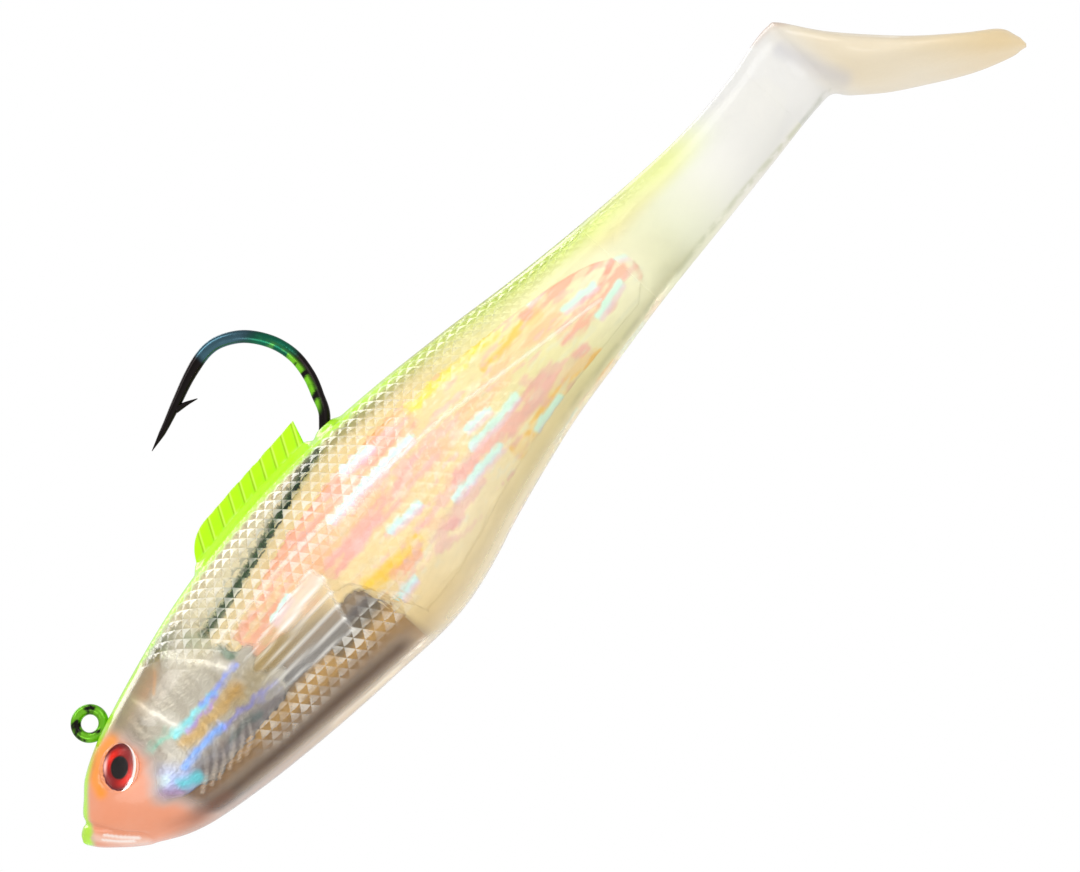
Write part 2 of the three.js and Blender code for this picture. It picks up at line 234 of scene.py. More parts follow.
# ---- camera, lights and floor ----
VIEW_LENS = 240.0
FRAME_WIDTH = 112.5  # millimetres across the picture at the fish
VIEW_BELOW = 14.0  # degrees that the camera looks up
VIEW_ROLL = 47.6  # degrees that the head points down in the picture
VIEW_CENTRE = (62.7, 0.0, -7.2)
FLOOR_Z = -1500.0
FLOOR_GLOW = 0.42  # brings the floor up to the white of the room
SKY_LOW, SKY_HIGH = 1.05, 0.58  # what surfaces get from below and above
SKY_HEIGHTS = (-0.7, 0.9)  # where the one turns into the other
FLOOR_HALF = 6.0  # metres


def add_camera():
    data = bpy.data.cameras.new("camera")
    data.lens = VIEW_LENS
    camera = bpy.data.objects.new("camera", data)
    bpy.context.scene.collection.objects.link(camera)
    below, roll = math.radians(VIEW_BELOW), math.radians(VIEW_ROLL)
    ahead = Vector((0, math.cos(below), math.sin(below)))
    side, over = Vector((1, 0, 0)), Vector((0, -math.sin(below), math.cos(below)))
    right = side * math.cos(roll) - over * math.sin(roll)
    up = side * math.sin(roll) + over * math.cos(roll)
    distance = FRAME_WIDTH * MM * VIEW_LENS / data.sensor_width
    place = at(*VIEW_CENTRE) - ahead * distance
    turn = Matrix((right, up, -ahead)).transposed()
    camera.matrix_world = Matrix.Translation(place) @ turn.to_4x4()
    data.clip_start = 0.01
    data.clip_end = 20
    bpy.context.scene.camera = camera


def add_lamp(name, place, size, watts, target=(45, 0, -2)):
    data = bpy.data.lights.new(name, "AREA")
    data.shape = "RECTANGLE"
    data.size, data.size_y = size[0] * MM, size[1] * MM
    data.energy = watts
    lamp = bpy.data.objects.new(name, data)
    lamp.location = at(*place)
    lamp.rotation_euler = (at(*target) - lamp.location).to_track_quat("-Z", "Y").to_euler()
    bpy.context.scene.collection.objects.link(lamp)


def add_lamps():
    """Softboxes over each side of the back, one beyond the nose and one beyond the tail."""
    add_lamp("overhead_left", (35, -190, 330), (260, 120), 0.40)
    add_lamp("overhead_right", (35, 190, 330), (260, 120), 0.36)
    add_lamp("front_left", (-170, -300, 30), (110, 190), 0.20, (20, 0, 0))
    add_lamp("tail_side", (230, -260, 60), (150, 90), 0.16, (110, 0, -5))


def add_world():
    """A white room: white behind the fish and through its clear parts, and softer light on its surfaces."""
    world = bpy.data.worlds.new("room")
    bpy.context.scene.world = world
    world.use_nodes = True
    room = Nodes(world.node_tree)
    background = world.node_tree.nodes["Background"]
    background.inputs["Color"].default_value = (1, 1, 1, 1)
    rays = room.node("LightPath").outputs
    seen = room.math("MAXIMUM", rays["Is Camera Ray"], rays["Is Transmission Ray"])
    height = room.node("SeparateXYZ")
    room.put(room.node("TexCoord").outputs["Generated"], height.inputs[0])
    sky = room.remap(height.outputs["Z"], *SKY_HEIGHTS, SKY_LOW, SKY_HIGH)
    strength = room.node("Mix")
    for socket, value in (("Factor", seen), ("A", sky), ("B", 1.0)):
        room.put(value, strength.inputs[socket])
    room.put(strength.outputs["Result"], background.inputs["Strength"])
    bpy.context.scene.view_settings.view_transform = "Standard"


def add_floor():
    mesh = bpy.data.meshes.new("floor")
    corners = [(-1, -1), (1, -1), (1, 1), (-1, 1)]
    points = [(x * FLOOR_HALF, y * FLOOR_HALF, FLOOR_Z * MM) for x, y in corners]
    mesh.from_pydata(points, [], [(0, 1, 2, 3)])
    look = Look("pale_floor", Roughness=0.8, Emission_Strength=FLOOR_GLOW)
    look.feed("Emission Color", rgb(255, 255, 255))
    look.feed("Base Color", rgb(246, 246, 244))
    mesh.materials.append(look.material)
    floor = bpy.data.objects.new("floor", mesh)
    bpy.context.scene.collection.objects.link(floor)


# ---- materials ----
def linear(value):
    """A screen's 0 to 255 as the light it stands for."""
    value = np.asarray(value, float) / 255
    return np.where(value <= 0.04045, value / 12.92, ((value + 0.055) / 1.055) ** 2.4)


def rgb(r, g, b):
    return (*linear((r, g, b)).tolist(), 1.0)


class Nodes:
    """A node tree, and short ways to add to it."""

    def __init__(self, tree):
        self.tree = tree

    def node(self, kind, **settings):
        made = self.tree.nodes.new("ShaderNode" + kind)
        for key, value in settings.items():
            setattr(made, key, value)
        return made

    def put(self, value, socket):
        """Links an output to a socket, or sets the socket to a plain value."""
        if isinstance(value, bpy.types.NodeSocket):
            self.tree.links.new(value, socket)
        else:
            socket.default_value = value

    def math(self, operation, *values):
        node = self.node("Math", operation=operation)
        for value, socket in zip(values, node.inputs):
            self.put(value, socket)
        return node.outputs[0]

    def remap(self, value, low, high, to_low=0.0, to_high=1.0):
        node = self.node("MapRange")
        names = ("Value", "From Min", "From Max", "To Min", "To Max")
        for name, number in zip(names, (value, low, high, to_low, to_high)):
            self.put(number, node.inputs[name])
        return node.outputs["Result"]


class Look(Nodes):
    """One material: a Principled shader and the nodes that feed it."""

    def __init__(self, name, **sockets):
        self.material = bpy.data.materials.new(name)
        self.material.use_nodes = True
        super().__init__(self.material.node_tree)
        self.shader = self.tree.nodes["Principled BSDF"]
        for socket, value in sockets.items():
            self.shader.inputs[socket.replace("_", " ")].default_value = value

    def feed(self, socket, value):
        self.put(value, self.shader.inputs[socket])

    def attribute(self, name, output="Fac"):
        return self.node("Attribute", attribute_name=name).outputs[output]

    def place(self, stretch):
        """The piece's own resting millimetres, stretched."""
        mapping = self.node("Mapping")
        mapping.inputs["Scale"].default_value = stretch
        self.put(self.attribute("rest", "Vector"), mapping.inputs["Vector"])
        return mapping.outputs["Vector"]

    def noise(self, scale, detail=2.0, stretch=(1, 1, 1), roughness=0.5):
        noise = self.node("TexNoise")
        for key, value in (("Scale", scale), ("Detail", detail), ("Roughness", roughness)):
            noise.inputs[key].default_value = value
        self.put(self.place(stretch), noise.inputs["Vector"])
        return noise.outputs["Fac"]

    def specks(self, scale, size, share):
        """1 in small round specks: one in some of the cells of a grid about 1/scale mm wide."""
        cells = self.node("TexVoronoi")
        cells.inputs["Scale"].default_value = scale
        self.put(self.place((1, 1, 1)), cells.inputs["Vector"])
        parts = self.node("SeparateColor")
        self.put(cells.outputs["Color"], parts.inputs[0])
        near = self.remap(cells.outputs["Distance"], size * scale, size * scale * 0.6)
        return self.math("MULTIPLY", near, self.math("LESS_THAN", parts.outputs[0], share))

    def mix(self, factor, a, b, blend="MIX"):
        mix = self.node("Mix", data_type="RGBA", blend_type=blend)
        for value, socket in ((factor, mix.inputs["Factor"]), (a, mix.inputs[6]), (b, mix.inputs[7])):
            self.put(value, socket)
        return mix.outputs[2]

    def bump(self, height, distance):
        bump = self.node("Bump")
        bump.inputs["Distance"].default_value = distance * MM
        self.put(height, bump.inputs["Height"])
        self.feed("Normal", bump.outputs["Normal"])

    def lets_light_in(self, share):
        """Lets lamps shine through the surface to what it holds."""
        rays = self.node("LightPath")
        through = self.node("MixShader")
        self.put(self.math("MULTIPLY", rays.outputs["Is Shadow Ray"], share), through.inputs["Fac"])
        self.put(self.shader.outputs[0], through.inputs[1])
        self.put(self.node("BsdfTransparent").outputs[0], through.inputs[2])
        self.put(through.outputs[0], self.tree.nodes["Material Output"].inputs["Surface"])


def scale_glint_facets(look):
    """1 on the half of each scale that faces the back, where a painted highlight is laid, and 0 on the other
    half and off the scales.
    """
    lattice = look.node("SeparateXYZ")
    look.put(look.attribute("lattice", "Vector"), lattice.inputs[0])
    along, round_it, cover = lattice.outputs
    offsets = []
    for operation in ("ADD", "SUBTRACT"):
        across = look.math(operation, along, round_it)
        nearest = look.math("ROUND", across)
        offsets.append(look.math("SUBTRACT", across, nearest))
    return look.math("MULTIPLY", look.math("LESS_THAN", *offsets), cover)


def plastic_look(name):
    """Clear soft plastic, sprayed where its tint is strong, with a painted white highlight on the back-facing
    half of each scale.
    """
    look = Look(name, IOR=1.36, Specular_IOR_Level=0.35, Coat_Weight=0.25, Coat_Roughness=0.05)
    uneven = look.remap(look.noise(0.55, 3.0, (0.6, 1, 1)), 0.38, 0.62, 0.25, 1.0)
    facet_glint = look.math("MULTIPLY", scale_glint_facets(look), uneven)
    mottle = look.remap(look.noise(0.35, 4.0, (0.5, 1, 1)), 0.35, 0.65, 0.0, 0.05)
    tint = look.mix(mottle, look.attribute("tint", "Color"), rgb(252, 250, 240))
    # painted highlight: the back-facing half of each scale is whitened here, and made less clear below
    tint = look.mix(look.math("MULTIPLY", facet_glint, 0.7), tint, rgb(255, 253, 244))
    specks = look.specks(0.22, 0.11, 0.3)
    tint = look.mix(look.math("MULTIPLY", specks, 0.75), tint, rgb(70, 62, 40))
    look.feed("Base Color", tint)
    clear = look.attribute("clear")
    clear = look.math("MULTIPLY", clear, look.remap(facet_glint, 0, 1, 1.0, 0.42))
    clear = look.math("MULTIPLY", clear, look.remap(specks, 0, 1, 1.0, 0.2))
    look.feed("Transmission Weight", clear)
    look.feed("Roughness", look.remap(look.attribute("frost"), 0, 1, 0.16, 0.33))
    look.bump(look.noise(1.6, 3.0, (0.6, 1, 1)), 0.02)
    look.lets_light_in(look.math("MAXIMUM", look.attribute("clear"), look.attribute("frost")))
    return look.material


def painted_look(name, wrinkle, scale, **sockets):
    """A look whose colour comes from the piece's own paint, with a fine uneven surface."""
    look = Look(name, **sockets)
    mottle = look.remap(look.noise(scale * 0.8, 4.0, (0.4, 1, 1)), 0.3, 0.7, 0.0, 0.22)
    tint = look.mix(mottle, look.attribute("tint", "Color"), rgb(198, 192, 180), "MULTIPLY")
    look.feed("Base Color", tint)
    look.bump(look.noise(scale * 2.2, 3.0, (0.5, 1, 1)), wrinkle)
    return look


def hook_look():
    look = painted_look("black_nickel", 0.01, 2.0)
    look.feed("Metallic", look.remap(look.attribute("paint"), 0, 1, 1.0, 0.25))
    look.feed("Roughness", look.remap(look.noise(1.2, 4.0), 0.3, 0.7, 0.16, 0.34))
    return look


def film_look():
    look = painted_look("flash_film", 0.10, 1.0, Metallic=0.1, Roughness=0.4, Specular_IOR_Level=0.2)
    look.bump(look.noise(0.9, 4.0, (0.3, 1, 1), 0.6), 0.12)
    return look


def foil_look():
    look = painted_look("silver_film", 0.08, 1.6, Metallic=0.45, Roughness=0.28)
    look.feed("Alpha", look.attribute("cover"))
    look.lets_light_in(1.0)
    return look


def lens_look():
    look = Look("eye_resin", Roughness=0.03, IOR=1.16, Transmission_Weight=1.0)
    look.feed("Base Color", rgb(255, 250, 248))
    look.lets_light_in(0.95)
    return look


# ---- paint ----
NOISE_CELLS = 64


def value_noise(x, z, size_x, size_z, seed, octaves=3):
    """Smooth random patches between 0 and 1, size_x by size_z millimetres."""
    cells = np.random.default_rng(seed).random((NOISE_CELLS, NOISE_CELLS))
    total, weight = 0.0, 0.0
    for octave in range(octaves):
        u, v = x / size_x * 2**octave + 7.3 * octave, z / size_z * 2**octave + 3.1 * octave
        i, j = np.floor(u).astype(int), np.floor(v).astype(int)
        s, t = smooth(u - i, 0, 1), smooth(v - j, 0, 1)
        i, j, after_i, after_j = [k % NOISE_CELLS for k in (i, j, i + 1, j + 1)]
        low = cells[i, j] * (1 - s) + cells[after_i, j] * s
        high = cells[i, after_j] * (1 - s) + cells[after_i, after_j] * s
        total = total + (low * (1 - t) + high * t) / 2**octave
        weight += 0.5**octave
    return total / weight


def slant(points):
    """Height up the flank, as seen from a little below: what flank paint is placed by."""
    return 0.97 * points[..., 2] + 0.242 * np.abs(points[..., 1])


class Coat:
    """Paint on a piece: the tint at each point, and how clear it is. Each layer covers what is there."""

    def __init__(self, x, z, colour, clear=1.0):
        self.x, self.z = x, z
        self.tint = np.broadcast_to(linear(colour), x.shape + (3,))
        self.clear = np.full(x.shape, clear)

    def cover(self, tint, share):
        """Lays tints over the paint, by a share from 0 to 1 at each point."""
        share = np.clip(share, 0, 1)[..., None]
        self.tint = self.tint * (1 - share) + tint * share

    def lay(self, colour, share, strength=1.0, dull=0.0):
        """Lays one colour, and makes its points less clear by dull."""
        self.cover(linear(colour), strength * share)
        self.clear = self.clear - dull * share

    def stroke(self, line, width, soft=0.5, lift=0.0, shift=0.0):
        """1 on a brush stroke along a line, and 0 beyond its width; lift and shift move the points first."""
        distance, _ = near_line(self.x + shift, self.z + lift, line)
        return fall(distance, width * (1 - soft), width)

    def brush(self, colour, line, width, soft, strength=1.0, dull=0.0):
        self.lay(colour, self.stroke(line, width, soft), strength, dull)

    def noise(self, size_x, size_z, seed):
        return value_noise(self.x, self.z, size_x, size_z, seed)

    def patches(self, size_x, size_z, seed, low, high):
        """1 in random patches: where the noise is above high."""
        return smooth(self.noise(size_x, size_z, seed), low, high)

    def wobble(self, size, size_x, size_z, seed):
        """Shakes up to half a size either way."""
        return size * (self.noise(size_x, size_z, seed) - 0.5)


# ---- skin ----
SCALE_X = 12.05  # the first ring that can have a scale on it
NOSE_RINGS = 46
FILM_TOP = curve([(25, 1), (34, 3.6), (44, 5.6), (54, 5.6), (66, 3.9), (76, 2), (83, -0.8)])
SCALE_EDGE = curve([(12, 0.10), (18, 0.40), (30, 0.47), (45, 0.46), (58, 0.34), (75, 0.24), (98, 0.14)])
SCALE_HEIGHT = 0.2
RINGS_PER_SCALE = 6
HOOK_EXIT_X = 48.2  # where the hook leaves the back


def skin_stations():
    nose = NOSE_X + (SCALE_X - NOSE_X) * np.linspace(0, 1, NOSE_RINGS) ** 1.7
    step = CELL / RINGS_PER_SCALE
    return np.concatenate([nose, np.arange(SCALE_X + step, SPLIT_X, step), [SPLIT_X]])


def scale_cover(x, side, zp, arc):
    """Where the scales are pressed: from the back to the lateral line, and a band low on the belly."""
    low_edge = SCALE_EDGE(x)
    upper = fall(side, low_edge - 0.10, low_edge + 0.06) * smooth(x + 0.9 * (zp - 5), 18.5, 22.0)
    upper *= fall(x, 90, 99) * (1 - 0.35 * smooth(x, 46, 60)) * (0.5 + 0.5 * smooth(arc, 3.5, 7.5))
    belly = span(zp, -9.6, -8.2, -6.2, -5.2) * span(x, 18, 23, 40, 43.5)
    faint = 0.18 * span(x, 22, 27, 52, 70) * fall(side, 0.7, 0.8)
    smooth_parts = (1 - pectoral_cover(x, zp)) * smooth(arc, 2.2, 3.4 - 1.0 * smooth(x, 46, 60))
    return np.maximum(np.maximum(upper, 0.8 * belly), faint) * smooth_parts


RAY_ROOT = (6.3, -2.5)
RAY_TIPS = [(36.5, 1.2), (36.8, -0.4), (36.2, -1.9), (35.7, -3.4), (35.2, -4.8), (34.9, -6.1)]


def from_ray_root(x, z):
    """The bearing and the distance of points from where the pectoral fin's rays meet."""
    return np.arctan2(z - RAY_ROOT[1], x - RAY_ROOT[0]), np.hypot(x - RAY_ROOT[0], z - RAY_ROOT[1])


def pectoral_cover(x, zp):
    """1 on the pectoral fin's fan, with the stepped ends of its rays."""
    bearing, reach = from_ray_root(x, zp)
    bearings, lengths = from_ray_root(*np.array(RAY_TIPS[::-1]).T)
    length = np.interp(bearing, bearings, lengths)
    inside = smooth(bearing, bearings[0] - 0.008, bearings[0] + 0.004)
    inside = inside * fall(bearing, bearings[-1] - 0.004, bearings[-1] + 0.008)
    return inside * fall(reach, length - 0.25, length) * smooth(reach, 15.5, 19)


def pectoral_relief(x, zp):
    """The fan stands proud, and each ray of it is rounded."""
    rays, _ = from_ray_root(*np.array(RAY_TIPS[::-1]).T)
    place = np.interp(from_ray_root(x, zp)[0], rays, np.arange(len(rays)))
    crown = np.abs(np.sin(np.pi * place)) ** 0.6
    fine = np.abs(np.sin(3 * np.pi * place))
    return pectoral_cover(x, zp) * (0.14 + 0.20 * crown + 0.04 * fine)


MOUTH = [(1.1, 0.6), (1.9, -0.9), (3.0, -2.9), (4.4, -4.6)]
LIP = [(0.6, -0.9), (1.4, -2.2), (2.6, -3.8), (4.0, -5.2)]
# the lip's creases, pressed into the skin and painted with white highlights
LIP_CREASES_AND_GLINTS = [[(1.0, -1.7), (2.0, -3.0), (3.1, -4.2)], [(1.5, -1.5), (2.6, -3.1), (3.7, -4.4)]]
GILL_COVER = [(12.6, 3.4), (14.6, 0.2), (14.2, -3.2), (11.2, -6.6)]
GILL_RIBS = 6
UNDER_LINE = [(60, -8.4), (68.8, -7.0), (77, -6.45), (86, -5.9), (95, -5.4), (105, -5.15), (109.6, -4.8)]
LATERAL_LINE = [(24.5, 3.2), (37.5, 3.8), (56.9, 1.8), (72.3, -1.1), (77.4, -2.1)]


def gill_rib(rib):
    bend = 0.5 * math.sin(2.3 * rib)
    start = (11.9 + 1.25 * rib + 0.3 * bend, -6.0 - 0.12 * rib)
    return [start, (start[0] + 1.8, start[1] + 0.9 + 0.3 * bend), (start[0] + 3.6 + bend, start[1] + 2.6)]


def welt(x, zp, line, width):
    """1 on a line and fading to each side of it."""
    return hump(near_line(x, zp, line)[0], width)


def head_relief(x, zp):
    """The mouth, the lower lip, the gill cover's edge and the gill ribs, in millimetres."""
    height = 0.10 * welt(x, zp, LIP, 0.35) - 0.30 * welt(x, zp, MOUTH, 0.25)
    for crease in LIP_CREASES_AND_GLINTS:
        height -= 0.10 * welt(x, zp, crease, 0.14)
    height += 0.14 * welt(x, zp, GILL_COVER, 0.5)
    for rib in range(GILL_RIBS):
        distance, share = near_line(x, zp, gill_rib(rib))
        height += 0.34 * hump(distance, 0.26) * (1 - 0.6 * share)
    return height


def skin_relief(rings, x, zp, arc):
    """The head's relief, the fan, the lateral line, the fin's ridge, the hook's collar and the eye sockets."""
    height = head_relief(x, zp) + pectoral_relief(x, zp)
    height = height + 0.13 * welt(x, zp, LATERAL_LINE, 0.13) * span(x, 24, 26, 74, 78)
    height = height + 0.75 * span(x, 27.2, 28.6, 45.4, 46.6) * hump(arc, 0.75)
    collar = hump(np.hypot(x - HOOK_EXIT_X, arc) - 1.0, 0.7)
    height = height + 0.45 * collar * smooth(x, 45.4, 46.6)
    right = rings * (1, 0, 1) + np.abs(rings) * (0, 1, 0)
    socket = np.linalg.norm(right - eye_frame()[0], axis=2)
    return height - 1.1 * fall(socket, EYE_RADIUS - 0.35, EYE_RADIUS + 0.02)


STEM_TINT = (229, 228, 225)  # the skin's colour where the trunk's hands over to the tail's
SNOUT_EDGE = curve([(-7, 10.6), (-5.2, 10.0), (-3.4, 8.0), (-2, 8.4), (-0.5, 10.0), (1, 11.0), (3, 10.8),
                    (5, 10)])
# where the lead's shadow is painted as a dark band on the skin
SHADOW_BAND = [(9, -7.2), (13, -8.1), (21, -9.2), (29, -10.1), (37, -11.1), (39.6, -11.4)]
JAW_EDGE = curve([(3, -4.6), (8, -7.2), (13, -9.0), (21, -10.3), (29, -11.3), (37, -12.2), (41, -12.8)])
# where the hook's shank shows through the skin
SHANK_SEEN = [(24, 4.9), (28.9, 5.5), (33.1, 6.2), (37.2, 7.1), (41.3, 7.9), (46, 8.9)]


def paint_stem(coat):
    """The clear skin turns milky where the stem begins."""
    x = coat.x
    coat.lay((248, 248, 224), span(x, 50, 66, 84, 98))
    coat.lay((230, 232, 206), span(x, 80, 85, 88, 100))
    coat.lay(STEM_TINT, smooth(x, 87, 101))
    milky = smooth(x + coat.wobble(2.0, 4.5, 1.8, 71), 82.5, 90.0)
    coat.clear -= 0.06 * smooth(x, 46, 60) + 0.72 * milky


def paint_back(coat, arc):
    """Cream above the film, green sprayed along the back, and a green collar round the hook."""
    x = coat.x
    upper = smooth(coat.z - 0.97 * FILM_TOP(x), 0.8, 3.0) * span(x, 18, 24, 92, 99)
    coat.lay((240, 226, 176), upper, 0.8)
    coat.clear -= (0.34 - 0.2 * smooth(x, 34, 46)) * upper * fall(x, 60, 80)
    wash = fall(arc, 2.4, 6.2) * span(x, 40, 60, 92, 101) * (1 - 0.45 * smooth(x, 78, 88))
    coat.lay((206, 234, 96), wash, 0.85, 0.25)
    edge = fall(arc, 2.7 + 0.5 * smooth(x, 22, 30), 4.6) * fall(x, 48, 64)
    coat.lay((186, 255, 0), edge, 0.97, 0.8)
    coat.lay((170, 236, 20), fall(np.hypot(x - HOOK_EXIT_X, arc), 1.4, 2.4))


def paint_snout(coat, arc):
    """A tan brow, and the pink snout and cheeks."""
    edge = SNOUT_EDGE(coat.z)
    snout = fall(coat.x + coat.wobble(1.8, 4.0, 3.0, 11), edge - 1.5, edge + 1.5) * smooth(arc, 2.6, 4.2)
    brow = coat.stroke([(8, 5.0), (12, 5.3), (17, 6.6)], 2.2, 0.9) * smooth(arc, 2.2, 4.0)
    coat.lay((222, 186, 140), brow, 0.75)
    coat.lay((234, 152, 116), snout)
    coat.clear = coat.clear * (1 - 0.93 * snout) - 0.25 * brow


def paint_jaw(coat):
    """Painted shade, the dark band of the lead's shadow below the lead and fainter on the chin, and under it
    the jaw: pink at the chin and tan behind.
    """
    x = coat.x
    # painted shade: the dark band of the lead's shadow
    band = coat.stroke(SHADOW_BAND, 1.7, 1.0) * span(x, 7.5, 12, 36.5, 40.0)
    coat.lay((72, 40, 8), band, 0.94, 0.30)
    # painted shade: the same band, fainter and pinker, carried onto the chin
    chin = coat.stroke([(5.5, -5.4), (9, -7.3), (13, -8.3)], 1.7, 1.0) * smooth(x, 5, 10)
    coat.lay((150, 98, 76), chin, 0.6)
    under = smooth(JAW_EDGE(x) - coat.z, -0.6, 0.7) * span(x, 4, 9, 38, 42)
    jaw = Coat(x, coat.z, (180, 130, 106))
    jaw.lay((208, 180, 132), smooth(x, 12, 34))
    coat.cover(jaw.tint, 0.85 * under)
    coat.clear -= 0.85 * under


def paint_face(coat):
    """An orange patch before the eye, pale lips with painted highlights along their creases, a green fleck on
    the nose, and the gill ribs, each with a painted highlight on it and painted shade just below it.
    """
    coat.brush((252, 150, 20), [(4.6, 1.7), (5.1, 3.2), (7.0, 4.6), (9.4, 4.6)], 1.1, 0.9, 0.85)
    coat.brush((246, 208, 190), LIP, 0.7, 0.9, 0.7)
    # painted highlights: white lines along the lip's creases
    for crease in LIP_CREASES_AND_GLINTS:
        coat.brush((255, 246, 240), crease, 0.22, 0.9, 0.8)
    fleck = fall(np.hypot(coat.x - 0.1, coat.z - 0.2), 0.5, 1.3) * (coat.z > -0.6)
    coat.lay((190, 240, 60), fleck, 0.9)
    for rib in range(GILL_RIBS):
        line = gill_rib(rib)
        # painted shade just below each rib, then a painted highlight on the rib, brightest at its lower end
        coat.lay((150, 124, 104), coat.stroke(line, 0.34, 0.9, lift=0.45), 0.5)
        rib_highlight = coat.stroke(line, 0.30, 0.9) * (1 - 0.7 * smooth(coat.x - line[0][0], 0.8, 3.4))
        coat.lay((240, 216, 190), rib_highlight, 0.85, 0.35)


def under_line(coat):
    """The broken line along the underside of the stem."""
    return coat.stroke(UNDER_LINE, 0.45, 0.9) * coat.patches(0.9, 0.5, 61, 0.2, 0.6)


def paint_belly(coat, side):
    """The milky belly, with a darker line along it, low on each side."""
    x = coat.x
    belly = smooth(side, 0.84, 0.97) * smooth(x, 36, 44) * (1 - 0.7 * smooth(x, 58, 74))
    coat.lay((246, 230, 184), belly, 0.6, 0.35)
    belly_line = hump(side - 0.88, 0.035) * span(x, 42, 60, 84, 92)
    coat.lay((206, 204, 150), belly_line * (1 - 0.5 * smooth(x, 60, 70)), 0.30)
    coat.lay((186, 190, 158), under_line(coat) * smooth(x, 62, 70), 0.55)


def paint_pectoral(coat):
    """Gold behind the fan, a pale fan, painted highlights along its rays and their stepped ends, and a painted
    glare on its upper half.
    """
    fan = pectoral_cover(coat.x, coat.z)
    coat.brush((214, 192, 128), [(21.5, -2.2), (25, -1.9), (29.5, -1.4)], 2.3, 0.9, 0.75)
    coat.lay((250, 242, 224), fan * smooth(coat.x, 26, 33), 0.4)
    coat.clear -= 0.12 * fan
    # painted highlights: white lines along the stepped ends of the rays, and along each ray
    for step in zip(RAY_TIPS, RAY_TIPS[1:]):
        coat.brush((255, 252, 246), step, 0.3, 0.9, 0.7, 0.3)
    for tip in RAY_TIPS:
        foot = [r + 0.6 * (t - r) for r, t in zip(RAY_ROOT, tip)]
        ray = coat.stroke([foot, tip], 0.28, 0.9) * smooth(coat.x, 23, 29)
        coat.lay((255, 252, 246), ray, 0.85, 0.45)
    glare = coat.stroke([(30.5, -0.6), (36.3, 0.1)], 1.5, 0.9) * fan
    coat.lay((255, 252, 248), glare, 0.55, 0.32)


def skin_paint(x, zp, side, arc):
    """The skin's tint and how clear it is."""
    coat = Coat(x, zp, (254, 253, 246), 0.98)
    paint_stem(coat)
    paint_back(coat, arc)
    paint_snout(coat, arc)
    paint_jaw(coat)
    paint_face(coat)
    shank = coat.stroke(SHANK_SEEN, 0.75, 0.9)
    coat.lay((70, 122, 84), shank, 0.75)
    coat.clear += 0.25 * shank * fall(x, 40, 46)
    paint_belly(coat, side)
    paint_pectoral(coat)
    coat.brush((255, 252, 240), LATERAL_LINE, 0.30, 0.9, 0.8, 0.4)
    return coat.tint, np.clip(coat.clear, 0.02, 1)


def scale_cuts(rings):
    """Which way each pair of triangles is cut, so that the edges of the scales lie on triangle edges."""
    i, j = np.meshgrid(np.arange(rings - 1) - NOSE_RINGS + 1, np.arange(AROUND), indexing="ij")
    step = np.minimum(j, AROUND - 1 - j)
    half = RINGS_PER_SCALE // 2
    right = (i + step + 1) % RINGS_PER_SCALE == half
    return np.where(j >= AROUND // 2, (i - step - 1) % RINGS_PER_SCALE != half, right)


def build_skin():
    rings = ring_points(skin_stations())
    share = np.arange(AROUND) / AROUND
    side = np.broadcast_to(np.minimum(share, 1 - share) * 2, rings.shape[:2])  # 0 at the back, 1 at the belly
    x, zp = rings[..., 0], slant(rings)
    step = np.linalg.norm(rings[:, 1] - rings[:, 0], axis=1)
    arc = side * step[:, None] * AROUND / 2
    cover = scale_cover(x, side, zp, arc)
    along, round_it = (x - SCALE_X) / CELL, side * CELLS / 2
    p, q = along + round_it, along - round_it
    pyramid = 1 - 2 * np.maximum(np.abs(p - np.round(p)), np.abs(q - np.round(q)))
    height = skin_relief(rings, x, zp, arc) + SCALE_HEIGHT * pyramid * np.sqrt(cover)
    outward = np.cross(np.gradient(rings, axis=0), np.roll(rings, -1, 1) - np.roll(rings, 1, 1))
    outward /= np.linalg.norm(outward, axis=2, keepdims=True) + 1e-9
    points = rings + outward * height[..., None]
    nose = points[0].mean(0)
    tint, clear = skin_paint(x, zp, side, arc)
    lattice = np.stack([along, round_it, cover], 2)
    flat = [v.reshape(-1, *v.shape[2:]) for v in (points, tint, clear, lattice)]
    points, tint, clear, lattice = [np.concatenate([v, v[:1]]) for v in flat]
    points[-1] = nose
    faces = np.concatenate([loft_faces(len(rings), AROUND, scale_cuts(len(rings))),
                            cap_faces(0, AROUND, len(points) - 1, False)])
    piece = make_piece("body_skin_shaped", points, faces, plastic_look("clear_plastic"), tint,
                       clear=clear, lattice=lattice, frost=smooth(points[:, 0], 79, 83))
    scaled = lattice[:, 2][faces].max(1) > 0.04
    piece.data.polygons.foreach_set("use_smooth", ~scaled)
    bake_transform(piece)
    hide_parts("body_skin", "tail_stem")


# ---- tail ----
TAIL_RINGS = 110
BOOT_SAG = 0.15  # the boot's middle sits lower than its rim by this share of its width
# the boot's upper edge, lower edge and half-width, from the stem's end to the tip
TAIL_UPPER = [(SPLIT_X, BACK(SPLIT_X)), (108, 4.4), (110.3, 4.62), (111.4, 4.1), (114.1, -0.4), (119.0, -6.9),
              (123.1, -11.3), (126.0, -14.1), (126.85, -16.4)]
TAIL_LOWER = [(SPLIT_X, BELLY(SPLIT_X)), (107.6, -5.35), (109.6, -5.35), (110.9, -6.7), (113.9, -8.8),
              (117.6, -11.1), (121.4, -13.9), (125.0, -16.6), (126.6, -17.5)]
TAIL_HALF_WIDTHS = [2.35, 2.5, 3.4, 4.6, 7.0, 7.7, 6.6, 3.7, 1.0]


